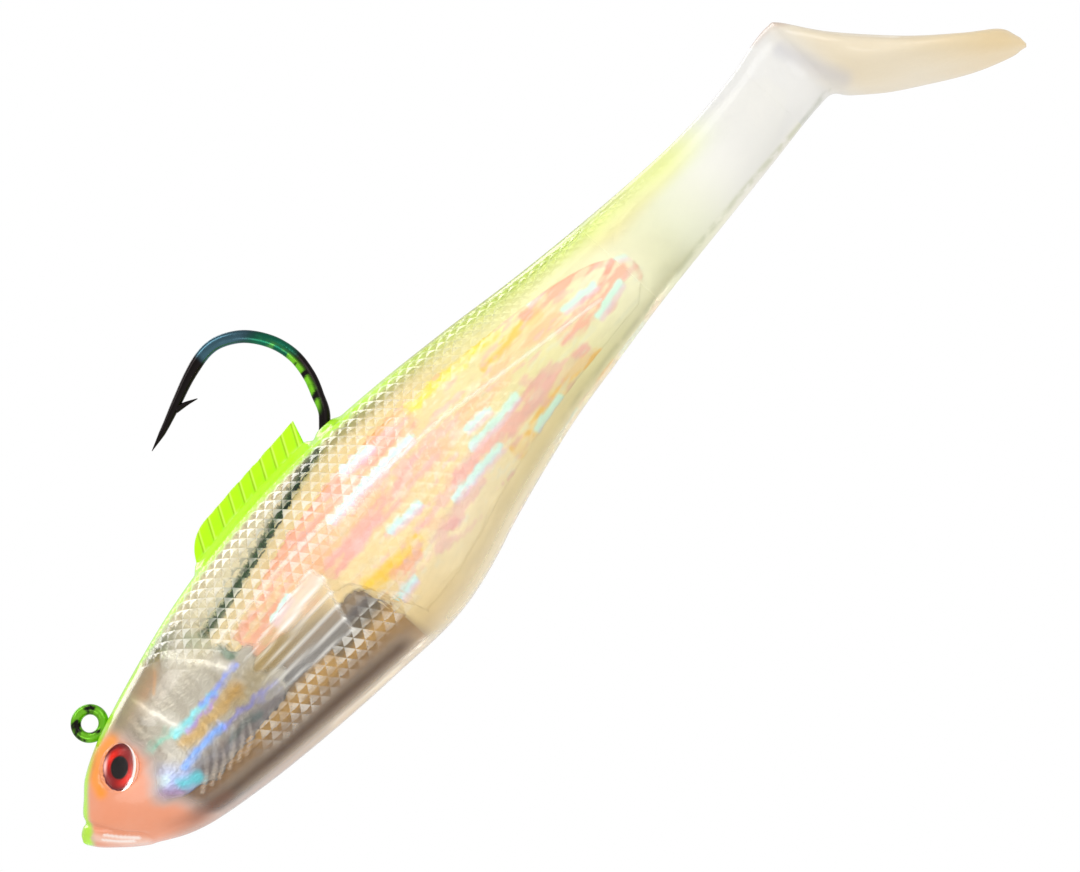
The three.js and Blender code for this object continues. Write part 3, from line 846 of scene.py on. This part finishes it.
def tail_rings():
    """Rings from the stem's end, turning down into the boot: each spans its upper and lower edge."""
    steps = np.linspace(0, len(TAIL_HALF_WIDTHS) - 1, TAIL_RINGS)
    top = np.stack([curve(list(enumerate(axis)))(steps) for axis in zip(*TAIL_UPPER)], 1)
    low = np.stack([curve(list(enumerate(axis)))(steps) for axis in zip(*TAIL_LOWER)], 1)
    half_width = curve(list(enumerate(TAIL_HALF_WIDTHS)))(steps)
    sag = BOOT_SAG * np.maximum(half_width - TAIL_HALF_WIDTHS[0], 0)
    top[:, 1] -= 1.7 * sag
    low[:, 1] -= sag
    first = ring_points(SPLIT_X)[0]
    top_z, low_z = first[0, 2], first[AROUND // 2, 2]
    rise = (first[:, 2] - low_z) / (top_z - low_z)
    across = first[:, 1] / np.abs(first[:, 1]).max()
    angle = circle(AROUND)
    turn = smooth(steps, 0.4, 3.0)[:, None]
    across = across * (1 - turn) + power(np.sin(angle), 0.8) * turn
    rise = rise * (1 - turn) + (0.5 + 0.5 * power(np.cos(angle), 0.9)) * turn
    middle = low[:, None] + (top - low)[:, None] * rise[..., None]
    return np.stack([middle[..., 0], half_width[:, None] * across, middle[..., 1]], 2)


def tail_paint(points):
    """The tail's tint: white at the ankle and cream towards the tip, with soft lines, a painted grey shade
    across the ankle, a darker line inside the rim and a painted white highlight along the sole.
    """
    x, zp = points[:, 0], slant(points)
    coat = Coat(x, zp, STEM_TINT)
    coat.lay((231, 218, 192), smooth(x, 108.5, 113))
    coat.lay((230, 206, 158), smooth(x, 116, 125), 0.75)
    angle = np.append(np.tile(circle(AROUND), TAIL_RINGS), 0)
    flank = fall(np.cos(angle), 0.35, 0.7)  # the boot's upper face stays plain
    # painted shade: a grey-lavender band across the ankle, where the stem turns down into the boot
    ankle = coat.stroke([(109.3, 1.8), (110.0, -0.8), (110.5, -3.0), (111.3, -5.2)], 1.5, 1.0)
    coat.lay((186, 186, 198), flank * ankle, 0.4)
    coat.brush((198, 170, 152), [(108.2, 4.7), (110.6, 4.6), (111.8, 3.6)], 1.2, 1.0, 0.8)
    coat.lay((176, 180, 166), under_line(coat), 0.5)
    rim = coat.stroke([(111.2, 3.0), (114.2, -1.4), (118.2, -6.8), (122.2, -11.6)], 0.5, 1.0)
    coat.lay((196, 178, 150), flank * rim * fall(x, 115, 121), 0.6)
    # painted highlight: a white sliver along the sole's rim
    coat.lay((255, 250, 238), flank * coat.stroke([(114.6, -1.9), (118.0, -6.2)], 0.42, 0.7), 0.9)
    return coat.tint


def build_tail():
    rings = tail_rings()
    tip = rings[-1].mean(0) + (0.12, 0, -0.35)
    points = np.concatenate([rings.reshape(-1, 3), [tip]])
    last = len(points) - 1
    faces = np.concatenate([loft_faces(TAIL_RINGS, AROUND), cap_faces(last - AROUND, AROUND, last, True)])
    piece = make_piece("tail_skin_shaped", points, faces, plastic_look("tail_plastic"), tail_paint(points),
                       clear=0.19 - 0.05 * smooth(points[:, 0], 108.5, 113),
                       lattice=np.zeros(points.shape), frost=np.ones(len(points)))
    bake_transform(piece)
    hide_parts("tail_paddle")


# ---- inside the body ----
INSIDE_SIDES = 96  # points round the core and the lead
CORE_DEPTH = curve([(12, 1.9), (62, 1.9), (82, 1.25), (92, 0.95), (100, 1.0), (104, 1.9), (106.4, 3.4)])
CORE_TOP = curve([(12, -0.2), (24, 2.6), (36, 5.2), (46, 7.9), (56, 7.5), (70, 5.4), (84, 4.2), (104, 4.0)])
CORE_LOW = curve([(12, -3.2), (24, -4.4), (36, -5.0), (38.4, -5.4), (39.1, -8.0), (39.6, -11.8), (43, -13.0),
                  (104, -13)])


def clamp_rings(rings, top, low):
    """Rings cut flat above top and below low."""
    cut = rings.copy()
    cut[..., 2] = np.clip(rings[..., 2], low[:, None], top[:, None])
    return cut


def cream(x, zp):
    """The milky plastic's colour, palest towards the tail, with painted light that makes it paler low on the
    flank, a painted olive shade by the lead and painted shade over its upper part.
    """
    coat = Coat(x, zp, (244, 220, 166))
    coat.lay((242, 236, 190), smooth(x, 54, 70))
    coat.lay((248, 246, 228), smooth(x, 68, 84))
    # painted light: paler low on the flank between x 40 and 76, where the lamps leave it dim
    coat.lay((252, 236, 196), smooth(-zp, 3, 7) * span(x, 40, 50, 62, 76))
    # painted shade: an olive band just above the lead's upper edge
    coat.brush((140, 116, 60), [(21, -2.2), (29, -2.4), (33.5, -3.6)], 2.8, 1.0, 0.9)
    # painted shade: the upper part darkened against the overhead lamps
    coat.tint = coat.tint * (1 - 0.09 * smooth(zp, -4, 1))[..., None]
    return coat


def build_core():
    x = np.concatenate([np.linspace(12, 102, 150), np.linspace(102.3, 106.4, 24)])
    rings = np.concatenate([ring_points(v, d, INSIDE_SIDES) for v, d in zip(x, CORE_DEPTH(x))])
    points, faces = closed_loft(clamp_rings(rings, CORE_TOP(x), CORE_LOW(x)))
    look = painted_look("milky_plastic", 0.03, 0.7, Roughness=0.5, Specular_IOR_Level=0.2)
    tint = cream(points[:, 0], slant(points)).tint
    piece = make_piece("body_core_shaped", points, faces, look.material, tint)
    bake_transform(piece)
    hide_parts("body_core", "stem_core")


LEAD_TOP = curve([(8.2, 1.2), (11, 3.6), (15, 5.6), (19, 6.6), (22.4, 6.4), (24.2, 3.0), (25.2, -3.6),
                  (30, -4.4), (36, -4.9), (38.6, -5.3), (39.4, -7.6), (40.0, -10.4)])
LEAD_DEPTH = 2.6
LEAD_KEEL = 3.6  # from the belly up to the keel's underside


def build_lead():
    x = np.linspace(8.2, 39.7, 120)
    rings = clamp_rings(ring_points(x, LEAD_DEPTH, INSIDE_SIDES), LEAD_TOP(x), BELLY(x) + LEAD_KEEL)
    points, faces = closed_loft(rings)
    coat = Coat(points[:, 0], slant(points), (206, 162, 88))
    coat.lay((150, 128, 100), smooth(coat.z, -6.4, -5.0) * smooth(coat.x, 22, 27))
    coat.brush((104, 98, 100), [(13, -4.2), (24, -4.6), (30, -4.8), (38, -5.4)], 1.1, 0.8)
    coat.brush((96, 86, 66), [(32.5, -6.3), (38.5, -6.2)], 1.4, 0.9, 0.9)
    # painted shade: the lead darkens below a line that falls towards the tail, on its shadowed underside
    edge = -7.0 - 0.115 * (coat.x - 13)
    coat.lay((150, 112, 62), smooth(-coat.z, -edge - 1.4, -edge + 1.4))
    look = painted_look("lead_alloy", 0.05, 1.0, Metallic=0.15, Roughness=0.5, Specular_IOR_Level=0.3)
    piece = make_piece("lead_head_shaped", points, faces, look.material, coat.tint)
    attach(piece, "head_and_trunk")
    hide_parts("lead_head")


# ---- film and foil ----
def flank(x, inset=0.0):
    """Points down the right flank at one place."""
    return ring_points(x, inset, 2 * (FLANK_STEPS - 1))[0, :FLANK_STEPS]


def flank_grid(x, top, low, inset, rows):
    """Points on the right flank between two heights, from the top down."""
    arc = np.linspace(0, 1, FLANK_STEPS)
    grid = []
    for station, high, bottom, depth in zip(x, top, low, np.broadcast_to(inset, x.shape)):
        ring = flank(station, depth)
        ends = np.interp([-high, -bottom], -ring[:, 2], arc)
        grid.append([np.interp(np.linspace(*ends, rows), arc, axis) for axis in ring.T])
    return np.array(grid).transpose(0, 2, 1)


def grid_outward(grid):
    out = np.cross(np.gradient(grid, axis=0), np.gradient(grid, axis=1))
    return out / (np.linalg.norm(out, axis=2, keepdims=True) + 1e-9)


def slab(grid, thick):
    """A closed sheet with the grid as its outer face: its points and faces."""
    inner = grid - grid_outward(grid) * thick
    rows, columns = grid.shape[:2]
    points = np.concatenate([grid.reshape(-1, 3), inner.reshape(-1, 3)])
    place = np.arange(rows * columns).reshape(rows, columns)
    corners = [place[:-1, :-1], place[1:, :-1], place[1:, 1:], place[:-1, 1:]]
    quads = np.stack([corner.ravel() for corner in corners], 1)
    under = quads[:, ::-1] + rows * columns
    rim = np.concatenate([place[0], place[1:, -1], place[-1, -2::-1], place[-2:0:-1, 0]])
    after = np.roll(rim, -1)
    walls = np.stack([rim, after, after + rows * columns, rim + rows * columns], 1)
    return points, np.concatenate([quads, under, walls])


FILM_BOTTOM = curve([(25, -2.2), (34, -4.2), (38, -5.0), (39.6, -8.0), (41.5, -11.5)])
FILM_ROWS = 56
FILM_MIDDLE_Z = -2.0  # the height that its rounded end closes to
FILM_STROKES = [
    # colour, line along the flank, half-width, strength
    ((238, 172, 144), [(26, -0.5), (30, 2.0), (40, 3.6)], 3.0, 0.95),
    ((236, 170, 150), [(38, 4.6), (44, 5.0), (54, 4.2)], 1.9, 0.95),
    ((246, 184, 110), [(38, 6.0), (48, 6.6), (55, 5.2)], 0.9, 0.85),
    ((244, 196, 150), [(29, -2.0), (36, 0.8), (46, 1.2)], 2.2, 0.7),
    ((242, 176, 168), [(38, -0.4), (46, -0.2), (54, 0.2)], 1.2, 0.9),
    ((250, 220, 60), [(56, 5.0), (62, 4.4), (68, 4.0)], 1.3, 0.95),
    ((252, 196, 70), [(64, 1.9), (69, 1.8), (72, 1.6)], 0.6, 0.9),
    ((252, 208, 60), [(39.5, -4.4), (43, -5.0), (46, -5.0)], 1.2, 0.95),
    ((248, 180, 160), [(42, -5.6), (45, -6.0)], 0.8, 0.8),
    ((244, 170, 160), [(48, -4.4), (50, -6.2)], 0.9, 0.8),
    ((244, 180, 178), [(53, -3.6), (60, -4.0), (66, -3.6), (72, -4.6)], 1.3, 0.9),
    ((248, 196, 160), [(52, -0.2), (60, 0.0), (68, 0.6), (74, 0.2)], 1.3, 0.8),
    ((252, 200, 90), [(60, -6.2), (66, -5.2), (73, -5.4)], 0.9, 0.95),
    ((246, 170, 160), [(71, 2.4), (76, 2.0), (80, 0.8)], 1.0, 0.9),
    ((246, 174, 162), [(72, -2.0), (77, -1.8), (81, -1.4)], 1.2, 0.85),
    ((246, 160, 150), [(78, -1.2), (81.5, -0.2), (83.2, -1.6), (82, -3.2)], 0.45, 0.9),
]
# painted glints on the film, each a white-cyan streak with a lavender edge below it
FILM_GLINTS = [
    [(41.5, 2.9), (47, 3.0), (53.5, 2.6)], [(52, -4.7), (55, -4.6), (59, -4.6)], [(58, -0.9), (61, -1.2)],
    [(57, -2.4), (61, -2.6), (64, -2.4)], [(40, -7.4), (43, -7.2)], [(72, 3.2), (75, 3.3)],
    [(74, 0.0), (78, -0.6)], [(76, -3.0), (80, -2.4)], [(81.8, -0.4), (83.4, -1.4), (83.0, -3.0)],
    [(63, -6.0), (67, -5.6)], [(45, -2.2), (49, -2.5)], [(30, 0.4), (33, 0.9)], [(46, 5.4), (50, 5.0)],
]


def film_paint(x, zp):
    """Pastel patches on cream, torn into streaks along the body, with a few painted white-cyan glints."""
    coat = cream(x, zp)
    torn = coat.patches(2.6, 0.55, 5, 0.36, 0.5)
    for colour, line, width, strength in FILM_STROKES:
        lift = coat.wobble(1.0, 1.8, 0.8, int(line[0][0]))
        coat.lay(colour, coat.stroke(line, width, 0.45, lift) * (0.35 + 0.65 * torn), strength)
    above = smooth(zp, -9.0, -7.2)
    coat.lay((236, 238, 228), coat.patches(2.2, 0.4, 8, 0.60, 0.72) * smooth(x, 38, 44) * above, 0.4)
    coat.lay((240, 186, 190), coat.patches(3.0, 0.6, 21, 0.60, 0.70) * smooth(x, 36, 44) * above, 0.6)
    # painted glints: white-cyan streaks, each with a lavender edge below
    for line in FILM_GLINTS:
        lift = coat.wobble(0.5, 0.9, 0.5, int(line[0][0]))
        coat.lay((214, 255, 255), coat.stroke(line, 0.5, 0.5, lift), 0.95)
        coat.lay((236, 200, 246), coat.stroke(line, 0.45, 0.8, lift=0.5), 0.5)
    return coat.tint


def side_piece(name, side, points, faces, look, tint):
    """A piece for the right flank, or the same mirrored for the left."""
    if side < 0:
        points = points * (1, -1, 1)
        faces = faces[:, ::-1]
    piece = make_piece(name, points, faces, look.material, tint)
    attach(piece, "head_and_trunk")
    return piece


def build_films():
    """A film on each flank: wrinkled, rounded at its end, and with a ragged rim sunk into the core."""
    x = np.linspace(25, 83.6, 300)
    end = np.sqrt(np.clip((83.8 - x) / 4.0, 0, 1))
    top, low = FILM_TOP(x), np.where(x < 41.5, FILM_BOTTOM(x), BELLY(x) + CORE_DEPTH(x) + 0.1)
    top, low = [FILM_MIDDLE_Z + (edge - FILM_MIDDLE_Z) * end for edge in (top, low)]
    grid = flank_grid(x, top, low, CORE_DEPTH(x) - 0.04, FILM_ROWS)
    place = grid[..., 0], slant(grid)
    row = np.arange(FILM_ROWS)
    down, along = np.minimum(row, row[::-1]), np.minimum(x - x[0], x[-1] - x)
    rim = np.minimum(smooth(down, 0, 5)[None, :], smooth(along, 0, 1.6)[:, None])
    ragged = 0.7 * (value_noise(*place, 0.9, 0.6, 41) - 0.5)
    wrinkle = 0.10 * value_noise(*place, 3.0, 0.8, 3) + 0.06 * value_noise(*place, 0.8, 0.5, 4)
    sunk = 0.4 * fall(rim + ragged * (1 - rim), 0.0, 0.8)
    points, faces = slab(grid + grid_outward(grid) * (wrinkle * rim - sunk)[..., None], 0.1)
    tint = film_paint(points[:, 0], slant(points))
    look = film_look()
    for word, side in (("left", -1), ("right", 1)):
        piece = side_piece("flash_film_%s_shaped" % word, side, points, faces, look, tint)
        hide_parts("flash_film_" + word)


WRAP_END = curve([(-8, 24.5), (-5, 25.6), (-3.5, 26.8), (-1.6, 24.6), (0.2, 26.6), (1.4, 24.6), (6, 23.2)])
# where painted highlights run along the foil's crinkled folds
WRAP_FOLD_GLINTS = [[(14.0, 5.1), (14.4, 3.0), (15.2, 0.6)], [(19.7, 6.0), (21.6, 3.4), (23.2, 0.6)]]
WRAP_PATCHES = [
    # colour, line, half-width, softness, strength
    ((172, 134, 84), [(14.8, 5.2), (17.0, 5.9), (19.0, 7.0)], 1.3, 0.6, 0.9),
    ((216, 160, 90), [(15.9, 4.2), (17.1, 5.1), (18.2, 6.1)], 0.25, 0.9, 0.6),
    ((92, 122, 100), [(22.6, 5.4), (24.2, 3.2), (24.6, 1.4)], 1.0, 0.5, 0.9),
]
WRAP_STREAKS = [
    # colour, line, half-width, strength
    ((116, 108, 112), [(13, -4.4), (18, -4.8), (24.6, -5.2)], 1.9, 0.95),
    ((150, 150, 160), [(14, -3.9), (19, -5.4)], 0.5, 0.6),
    ((84, 104, 104), [(18, -4.6), (20, -4.2), (22, -4.9)], 0.6, 0.8),
    ((194, 156, 84), [(14.6, -1.3), (19, -1.6), (22.5, -1.6)], 1.1, 0.9),
    ((130, 200, 180), [(10.8, 0.7), (12.6, 0.7), (14.6, 0.3)], 0.6, 0.8),
    ((124, 222, 236), [(14.4, 0.0), (17, -0.1), (20.4, -0.1)], 0.5, 0.9),
    ((116, 144, 250), [(18.5, -0.1), (21, -0.1), (24.0, 0.3)], 0.45, 0.8),
    ((170, 130, 240), [(15.5, -0.7), (20, -0.8)], 0.35, 0.6),
    ((176, 196, 250), [(9.0, -2.2), (10.6, -2.9), (11.6, -4.0)], 2.2, 1.0),
    ((206, 176, 244), [(8.8, -3.0), (10.4, -4.2)], 1.1, 0.8),
    ((210, 240, 255), [(9.3, -2.0), (10.4, -2.4)], 0.7, 0.9),
    ((90, 222, 240), [(11.2, -3.9), (12.9, -4.6)], 0.8, 0.9),
    ((120, 170, 255), [(12.6, -2.9), (15.5, -2.8), (18.4, -3.0)], 0.6, 0.95),
    ((120, 124, 232), [(18.4, -3.2), (21, -3.4), (25.6, -3.9)], 0.45, 0.7),
]


def wrap_paint(x, zp):
    """Silver-grey foil in panels, with painted white highlights along its crinkled folds, and blue and violet
    bands below.
    """
    coat = Coat(x, zp, (170, 163, 150))
    for patch in WRAP_PATCHES:
        coat.brush(*patch)
    coat.lay((196, 192, 182), coat.patches(1.2, 3.5, 14, 0.5, 0.7), 0.4)
    for colour, line, width, strength in WRAP_STREAKS:
        lift = coat.wobble(1.0, 1.1, 0.7, int(10 * line[0][0]))
        coat.lay(colour, coat.stroke(line, 1.15 * width, 1.0, lift), strength)
    shift = coat.wobble(0.5, 0.7, 0.9, 31)
    # painted highlights along the folds: a soft pale band with a white line in it
    for line in WRAP_FOLD_GLINTS:
        coat.lay((226, 222, 214), coat.stroke(line, 1.1, 1.0, shift=shift), 0.6)
        coat.lay((250, 246, 238), coat.stroke(line, 0.28, 0.9, shift=shift), 0.8)
    return coat.tint


def wrap_cover(x, zp):
    """1 on the foil and 0 beyond its uneven rear and lower edges."""
    uneven = 1.6 * (value_noise(x, zp, 1.6, 0.8, 51) - 0.5)
    lower = np.interp(x, [8, 11, 15, 27], [-4.2, -5.4, -6.3, -6.2])
    return fall(x + uneven - WRAP_END(zp), -0.4, 0.5) * smooth(zp + 0.6 * uneven - lower, -0.3, 0.5)


def build_wrap():
    """The foil: a creased sheet down each side of the head, joined by a narrow bridge over the lead."""
    x = np.linspace(7.8, 27.4, 112)
    low = np.interp(x, [7.8, 10, 14, 24.6, 27.4], [-4.4, -5.6, -6.9, -7.2, -6.4])
    grid = flank_grid(x, np.minimum(BACK(x) - 2.2, 6.9), low, 1.75, 60)
    place = grid[..., 0], slant(grid)
    wrinkle = 0.12 * value_noise(*place, 0.7, 2.6, 6) + 0.05 * value_noise(*place, 2.2, 0.7, 7)
    right, faces = slab(grid + grid_outward(grid) * wrinkle[..., None], 0.2)
    top = np.arange(len(x)) * grid.shape[1]
    bridge = np.stack([top[:-1], top[:-1] + len(right), top[1:] + len(right), top[1:]], 1)
    faces = np.concatenate([faces, faces[:, ::-1] + len(right), bridge])
    points = np.concatenate([right, right * (1, -1, 1)])
    place = points[:, 0], slant(points)
    piece = make_piece("head_wrap_shaped", points, faces, foil_look().material, wrap_paint(*place),
                       cover=wrap_cover(*place))
    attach(piece, "head_and_trunk")
    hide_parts("head_wrap")


# ---- hook ----
def through(points, per_leg=14):
    """A smooth path through points."""
    points = np.array(points, float)
    legs = np.linalg.norm(np.diff(points, axis=0), axis=1) ** 0.5
    knots = np.concatenate([[0], legs.cumsum()])
    steps = [np.linspace(a, b, per_leg, endpoint=False) for a, b in zip(knots, knots[1:])]
    steps = np.concatenate(steps + [knots[-1:]])
    return np.stack([curve(list(zip(knots, axis)))(steps) for axis in points.T], 1)


def bar_rings(path, over, up, side):
    """A ring round each point of a path in the x-z plane: up along over, and side to the fish's right."""
    offset = over[:, None] * up[..., None]
    x, z = np.moveaxis(path[:, None] + offset, 2, 0)
    return np.stack([x, np.broadcast_to(side, x.shape), z], 2)


def bar(path, radius, count, flat=1.0):
    """A round bar along a path of (x, z); flat squeezes it sideways at each point."""
    ahead = np.gradient(path, axis=0)
    ahead /= np.linalg.norm(ahead, axis=1, keepdims=True)
    over = np.stack([-ahead[:, 1], ahead[:, 0]], 1)
    angle = circle(count)
    up = (radius * (2 - flat))[:, None] * np.cos(angle)
    return closed_loft(bar_rings(path, over, up, (radius * flat)[:, None] * np.sin(angle)))


WIRE = 0.62
EYE_OF_HOOK = (8.7, 7.75)
RING_RADIUS, RING_WIRE = 1.5, 0.56
RING_STEPS, RING_SIDES = 48, 20
HOOK_LINE = [(8.8, 6.2), (9.6, 4.4), (10.7, 1.4), (12.1, 0.6), (18, 2.2), (24, 3.7), (34, 5.7), (45, 8.6),
             (48.9, 11.3), (50.2, 13.6), (51.1, 15.8), (51.5, 18.4), (51.0, 21.1), (49.5, 23.7), (47.4, 25.3),
             (45.4, 25.75), (42.6, 25.3), (39.4, 24.3), (36.6, 23.4), (34.0, 22.75)]
BARB_LINE = [(38.9, 23.9), (40.2, 23.45), (41.3, 22.95)]
BEND_CENTRE = (40.5, 18.4)


def hook_wire():
    """The hook's one wire, a little flattened in its bend and drawn out to its point."""
    path = through(HOOK_LINE)
    run = np.linspace(0, len(HOOK_LINE) - 1, len(path))
    radius = WIRE * np.interp(run, [0, 15.6, 17, 18.2, 19], [1, 1, 0.86, 0.56, 0.05])
    return bar(path, radius, 24, 1 - 0.12 * span(run, 8, 9.5, 15, 17))


def hook_ring():
    """The closed ring of the line tie."""
    turn, angle = circle(RING_STEPS), circle(RING_SIDES)
    out = np.stack([np.cos(turn), np.sin(turn)], 1)
    up = np.broadcast_to(RING_WIRE * np.cos(angle), (RING_STEPS, RING_SIDES))
    rings = bar_rings(np.array(EYE_OF_HOOK) + RING_RADIUS * out, out, up, RING_WIRE * np.sin(angle))
    return rings.reshape(-1, 3), loft_faces(RING_STEPS + 1, RING_SIDES)[:, ::-1] % (RING_STEPS * RING_SIDES)


def hook_paint(points):
    """Black nickel with green paint left on the ring and the bend, and green and blue reflections."""
    x, z = points[:, 0], points[:, 2]
    inner = fall(np.hypot(x - BEND_CENTRE[0], z - BEND_CENTRE[1]), 10.6, 11.1)
    rear = smooth(x, 46, 49) * span(z, 11.6, 12.8, 17, 23) * inner
    share = np.maximum(0.75 * fall(x, 10.6, 11.4), 0.95 * rear)
    share = share * smooth(value_noise(x + points[:, 1], z, 0.8, 0.8, 9), 0.36, 0.56)
    coat = Coat(x, z, (34, 30, 30))
    coat.lay((70, 104, 118), smooth(x, 44.2, 45.0) * smooth(z, 22, 24.6), 0.9)
    coat.lay((30, 110, 84), smooth(x, 48, 49.5) * span(z, 17.5, 19.5, 22, 24), 0.9)
    coat.lay((24, 92, 50), span(x, 11, 14, 44, 46) * fall(z, 10, 11), 0.9)
    coat.lay((120, 206, 10), share)
    return coat.tint, share


def build_hook():
    barb_line = through(BARB_LINE, 6)
    barb = bar(barb_line, np.linspace(0.42, 0.05, len(barb_line)), 12)
    points, faces, count = [], [], 0
    for part_points, part_faces in (hook_wire(), hook_ring(), barb):
        points.append(part_points)
        faces.append(part_faces + count)
        count += len(part_points)
    points = np.concatenate(points)
    faces = np.concatenate(faces)
    tint, share = hook_paint(points)
    piece = make_piece("jig_hook_shaped", points, faces, hook_look().material, tint, paint=share)
    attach(piece, "head_and_trunk")
    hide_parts("jig_hook")


# ---- eyes ----
EYE_PLACE = (7.75, 1.0)
EYE_FACING = Vector((-0.42, 1.0, 0.44)).normalized()
EYE_RADIUS = 2.45
LENS_HEIGHT = 0.95
EYE_SIDES = 64
DISC_RINGS = 40


def eye_frame():
    """The eye's centre on the right flank, and its directions: along, up and out."""
    x, z = EYE_PLACE
    ring = flank(x)
    y = np.interp(-z, -ring[:, 2], ring[:, 1])
    out = np.array(EYE_FACING)
    along = np.cross((0, 0, 1), out)
    along /= np.linalg.norm(along)
    return np.array([x, y, z]), along, np.cross(out, along), out


def dome(profile):
    """A turned shape for the eye: profile is (radius, height) from its front centre round to its back."""
    centre, along, up, out = eye_frame()
    angle = circle(EYE_SIDES)[:, None]
    radius, height = np.array(profile, float).T[..., None, None]
    return closed_loft(centre + radius * (along * np.cos(angle) + up * np.sin(angle)) + height * out)


def eye_paint(points):
    """A black pupil in a red iris that glows above and below, in a dark rim, with a painted highlight arc at
    its upper right.
    """
    centre, along, up, _ = eye_frame()
    a, b = (points - centre) @ along, (points - centre) @ up
    r, angle = np.hypot(a, b), np.arctan2(b, a)
    coat = Coat(a, b, (118, 3, 5))
    coat.lay((208, 34, 16), np.abs(np.sin(angle)) ** 3 * hump(r - 1.55, 0.45))
    coat.lay((70, 2, 12), hump(r - 2.2, 0.22), 0.8)
    coat.lay((250, 196, 180), smooth(r, 2.36, 2.44))
    # painted highlight: a pale pink arc at the iris's upper right
    coat.lay((255, 205, 200), hump(r - 1.95, 0.22) * np.clip(np.cos(angle - 0.9), 0, 1) ** 12, 0.8)
    coat.lay((3, 1, 2), fall(r, 1.10, 1.24))
    return coat.tint


def build_eyes():
    radii = [*np.linspace(0.05, EYE_RADIUS, DISC_RINGS), EYE_RADIUS, 0.5]
    disc, disc_faces = dome(list(zip(radii, [-0.12] * DISC_RINGS + [-0.5, -0.5])))
    tint = eye_paint(disc)
    disc = disc - eye_frame()[3] * 0.35
    radius, turn = EYE_RADIUS + 0.12, np.linspace(0.02, np.pi / 2, 14)
    front = list(zip(radius * np.sin(turn), -0.1 + LENS_HEIGHT * np.cos(turn)))
    lens, lens_faces = dome(front + [(radius, -0.35), (radius - 0.1, -0.42), (0.5, -0.42)])
    print_look = painted_look("eye_print", 0.004, 4.0, Roughness=0.6, Specular_IOR_Level=0.1)
    resin = lens_look()
    for word, side in (("left", -1), ("right", 1)):
        piece = side_piece("eye_disc_%s_shaped" % word, side, disc, disc_faces, print_look, tint)
        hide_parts("eye_disc_" + word)
        piece = side_piece("eye_lens_%s_shaped" % word, side, lens, lens_faces, resin, None)
        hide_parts("eye_lens_" + word)


# ---- dorsal fin ----
FIN_FRONT_X = 28.2
FIN_ROOT, FIN_CHORD = 17.0, 18.2  # the lengths of its root and of its top
FIN_TOP = curve([(28.2, 10.3), (29.3, 11.9), (30.6, 12.9), (32.4, 13.4), (38, 13.55), (46.4, 13.7)])
FIN_RAYS = 11


def from_fin_ray(x, z):
    """How far points are from the nearest of the fin's slanting rays, as a share of their spacing."""
    rays = (x - 0.55 * (z - 10.6) - 26.4) / 18.0 * FIN_RAYS
    return rays - np.round(rays)


def fin_rings():
    """A ribbed blade that leans back, thick at its root and thin at its edge."""
    s, t = np.meshgrid(np.linspace(0, 1, 260), np.linspace(0, 1, 26), indexing="ij")
    root_x, top_x = FIN_FRONT_X + FIN_ROOT * s, FIN_FRONT_X + FIN_CHORD * s
    ragged = 0.16 * value_noise(s * 18, s * 0, 0.9, 1.0, 17) * smooth(s, 0.15, 0.3)
    low = BACK(root_x) - 0.1
    x = root_x + (top_x - root_x) * t
    z = low + (FIN_TOP(top_x) - ragged - low) * t
    half = 0.38 - 0.15 * t + 0.12 * hump(t, 0.10)
    half = half - 0.10 * hump(from_fin_ray(x, z), 0.11) * smooth(t, 0.08, 0.2)
    for to_edge in ((1 - t) / 0.06, np.minimum(s, 1 - s) / 0.012):
        half = half * np.sqrt(np.clip(to_edge, 0.12, 1))
    right = np.stack([x, half, z], 2)
    return np.concatenate([right[:, ::-1], right * (1, -1, 1)], 1)


def build_fin():
    points, faces = closed_loft(fin_rings())
    coat = Coat(points[:, 0], points[:, 2], (184, 255, 4))
    root = fall(coat.z - BACK(coat.x), 0.3, 1.0)
    beside = from_fin_ray(coat.x, coat.z)
    coat.lay((150, 170, 20), hump(beside, 0.07) * (1 - root), 0.75)
    # painted highlight: a pale line beside each ray
    coat.lay((226, 255, 120), hump(beside - 0.14, 0.06) * (1 - root), 0.6)
    # painted highlights: pale patches along the fin's root
    coat.lay((225, 255, 150), root * coat.patches(0.8, 0.4, 23, 0.45, 0.65), 0.6)
    look = painted_look("fin_plastic", 0.02, 1.0, Roughness=0.45, IOR=1.3)
    piece = make_piece("dorsal_fin_shaped", points, faces, look.material, coat.tint)
    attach(piece, "fin")
    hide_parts("dorsal_fin")


add_world()
add_lamps()
add_camera()
add_floor()
build_skin()
build_tail()
build_core()
build_films()
build_lead()
build_wrap()
build_hook()
build_eyes()
build_fin()
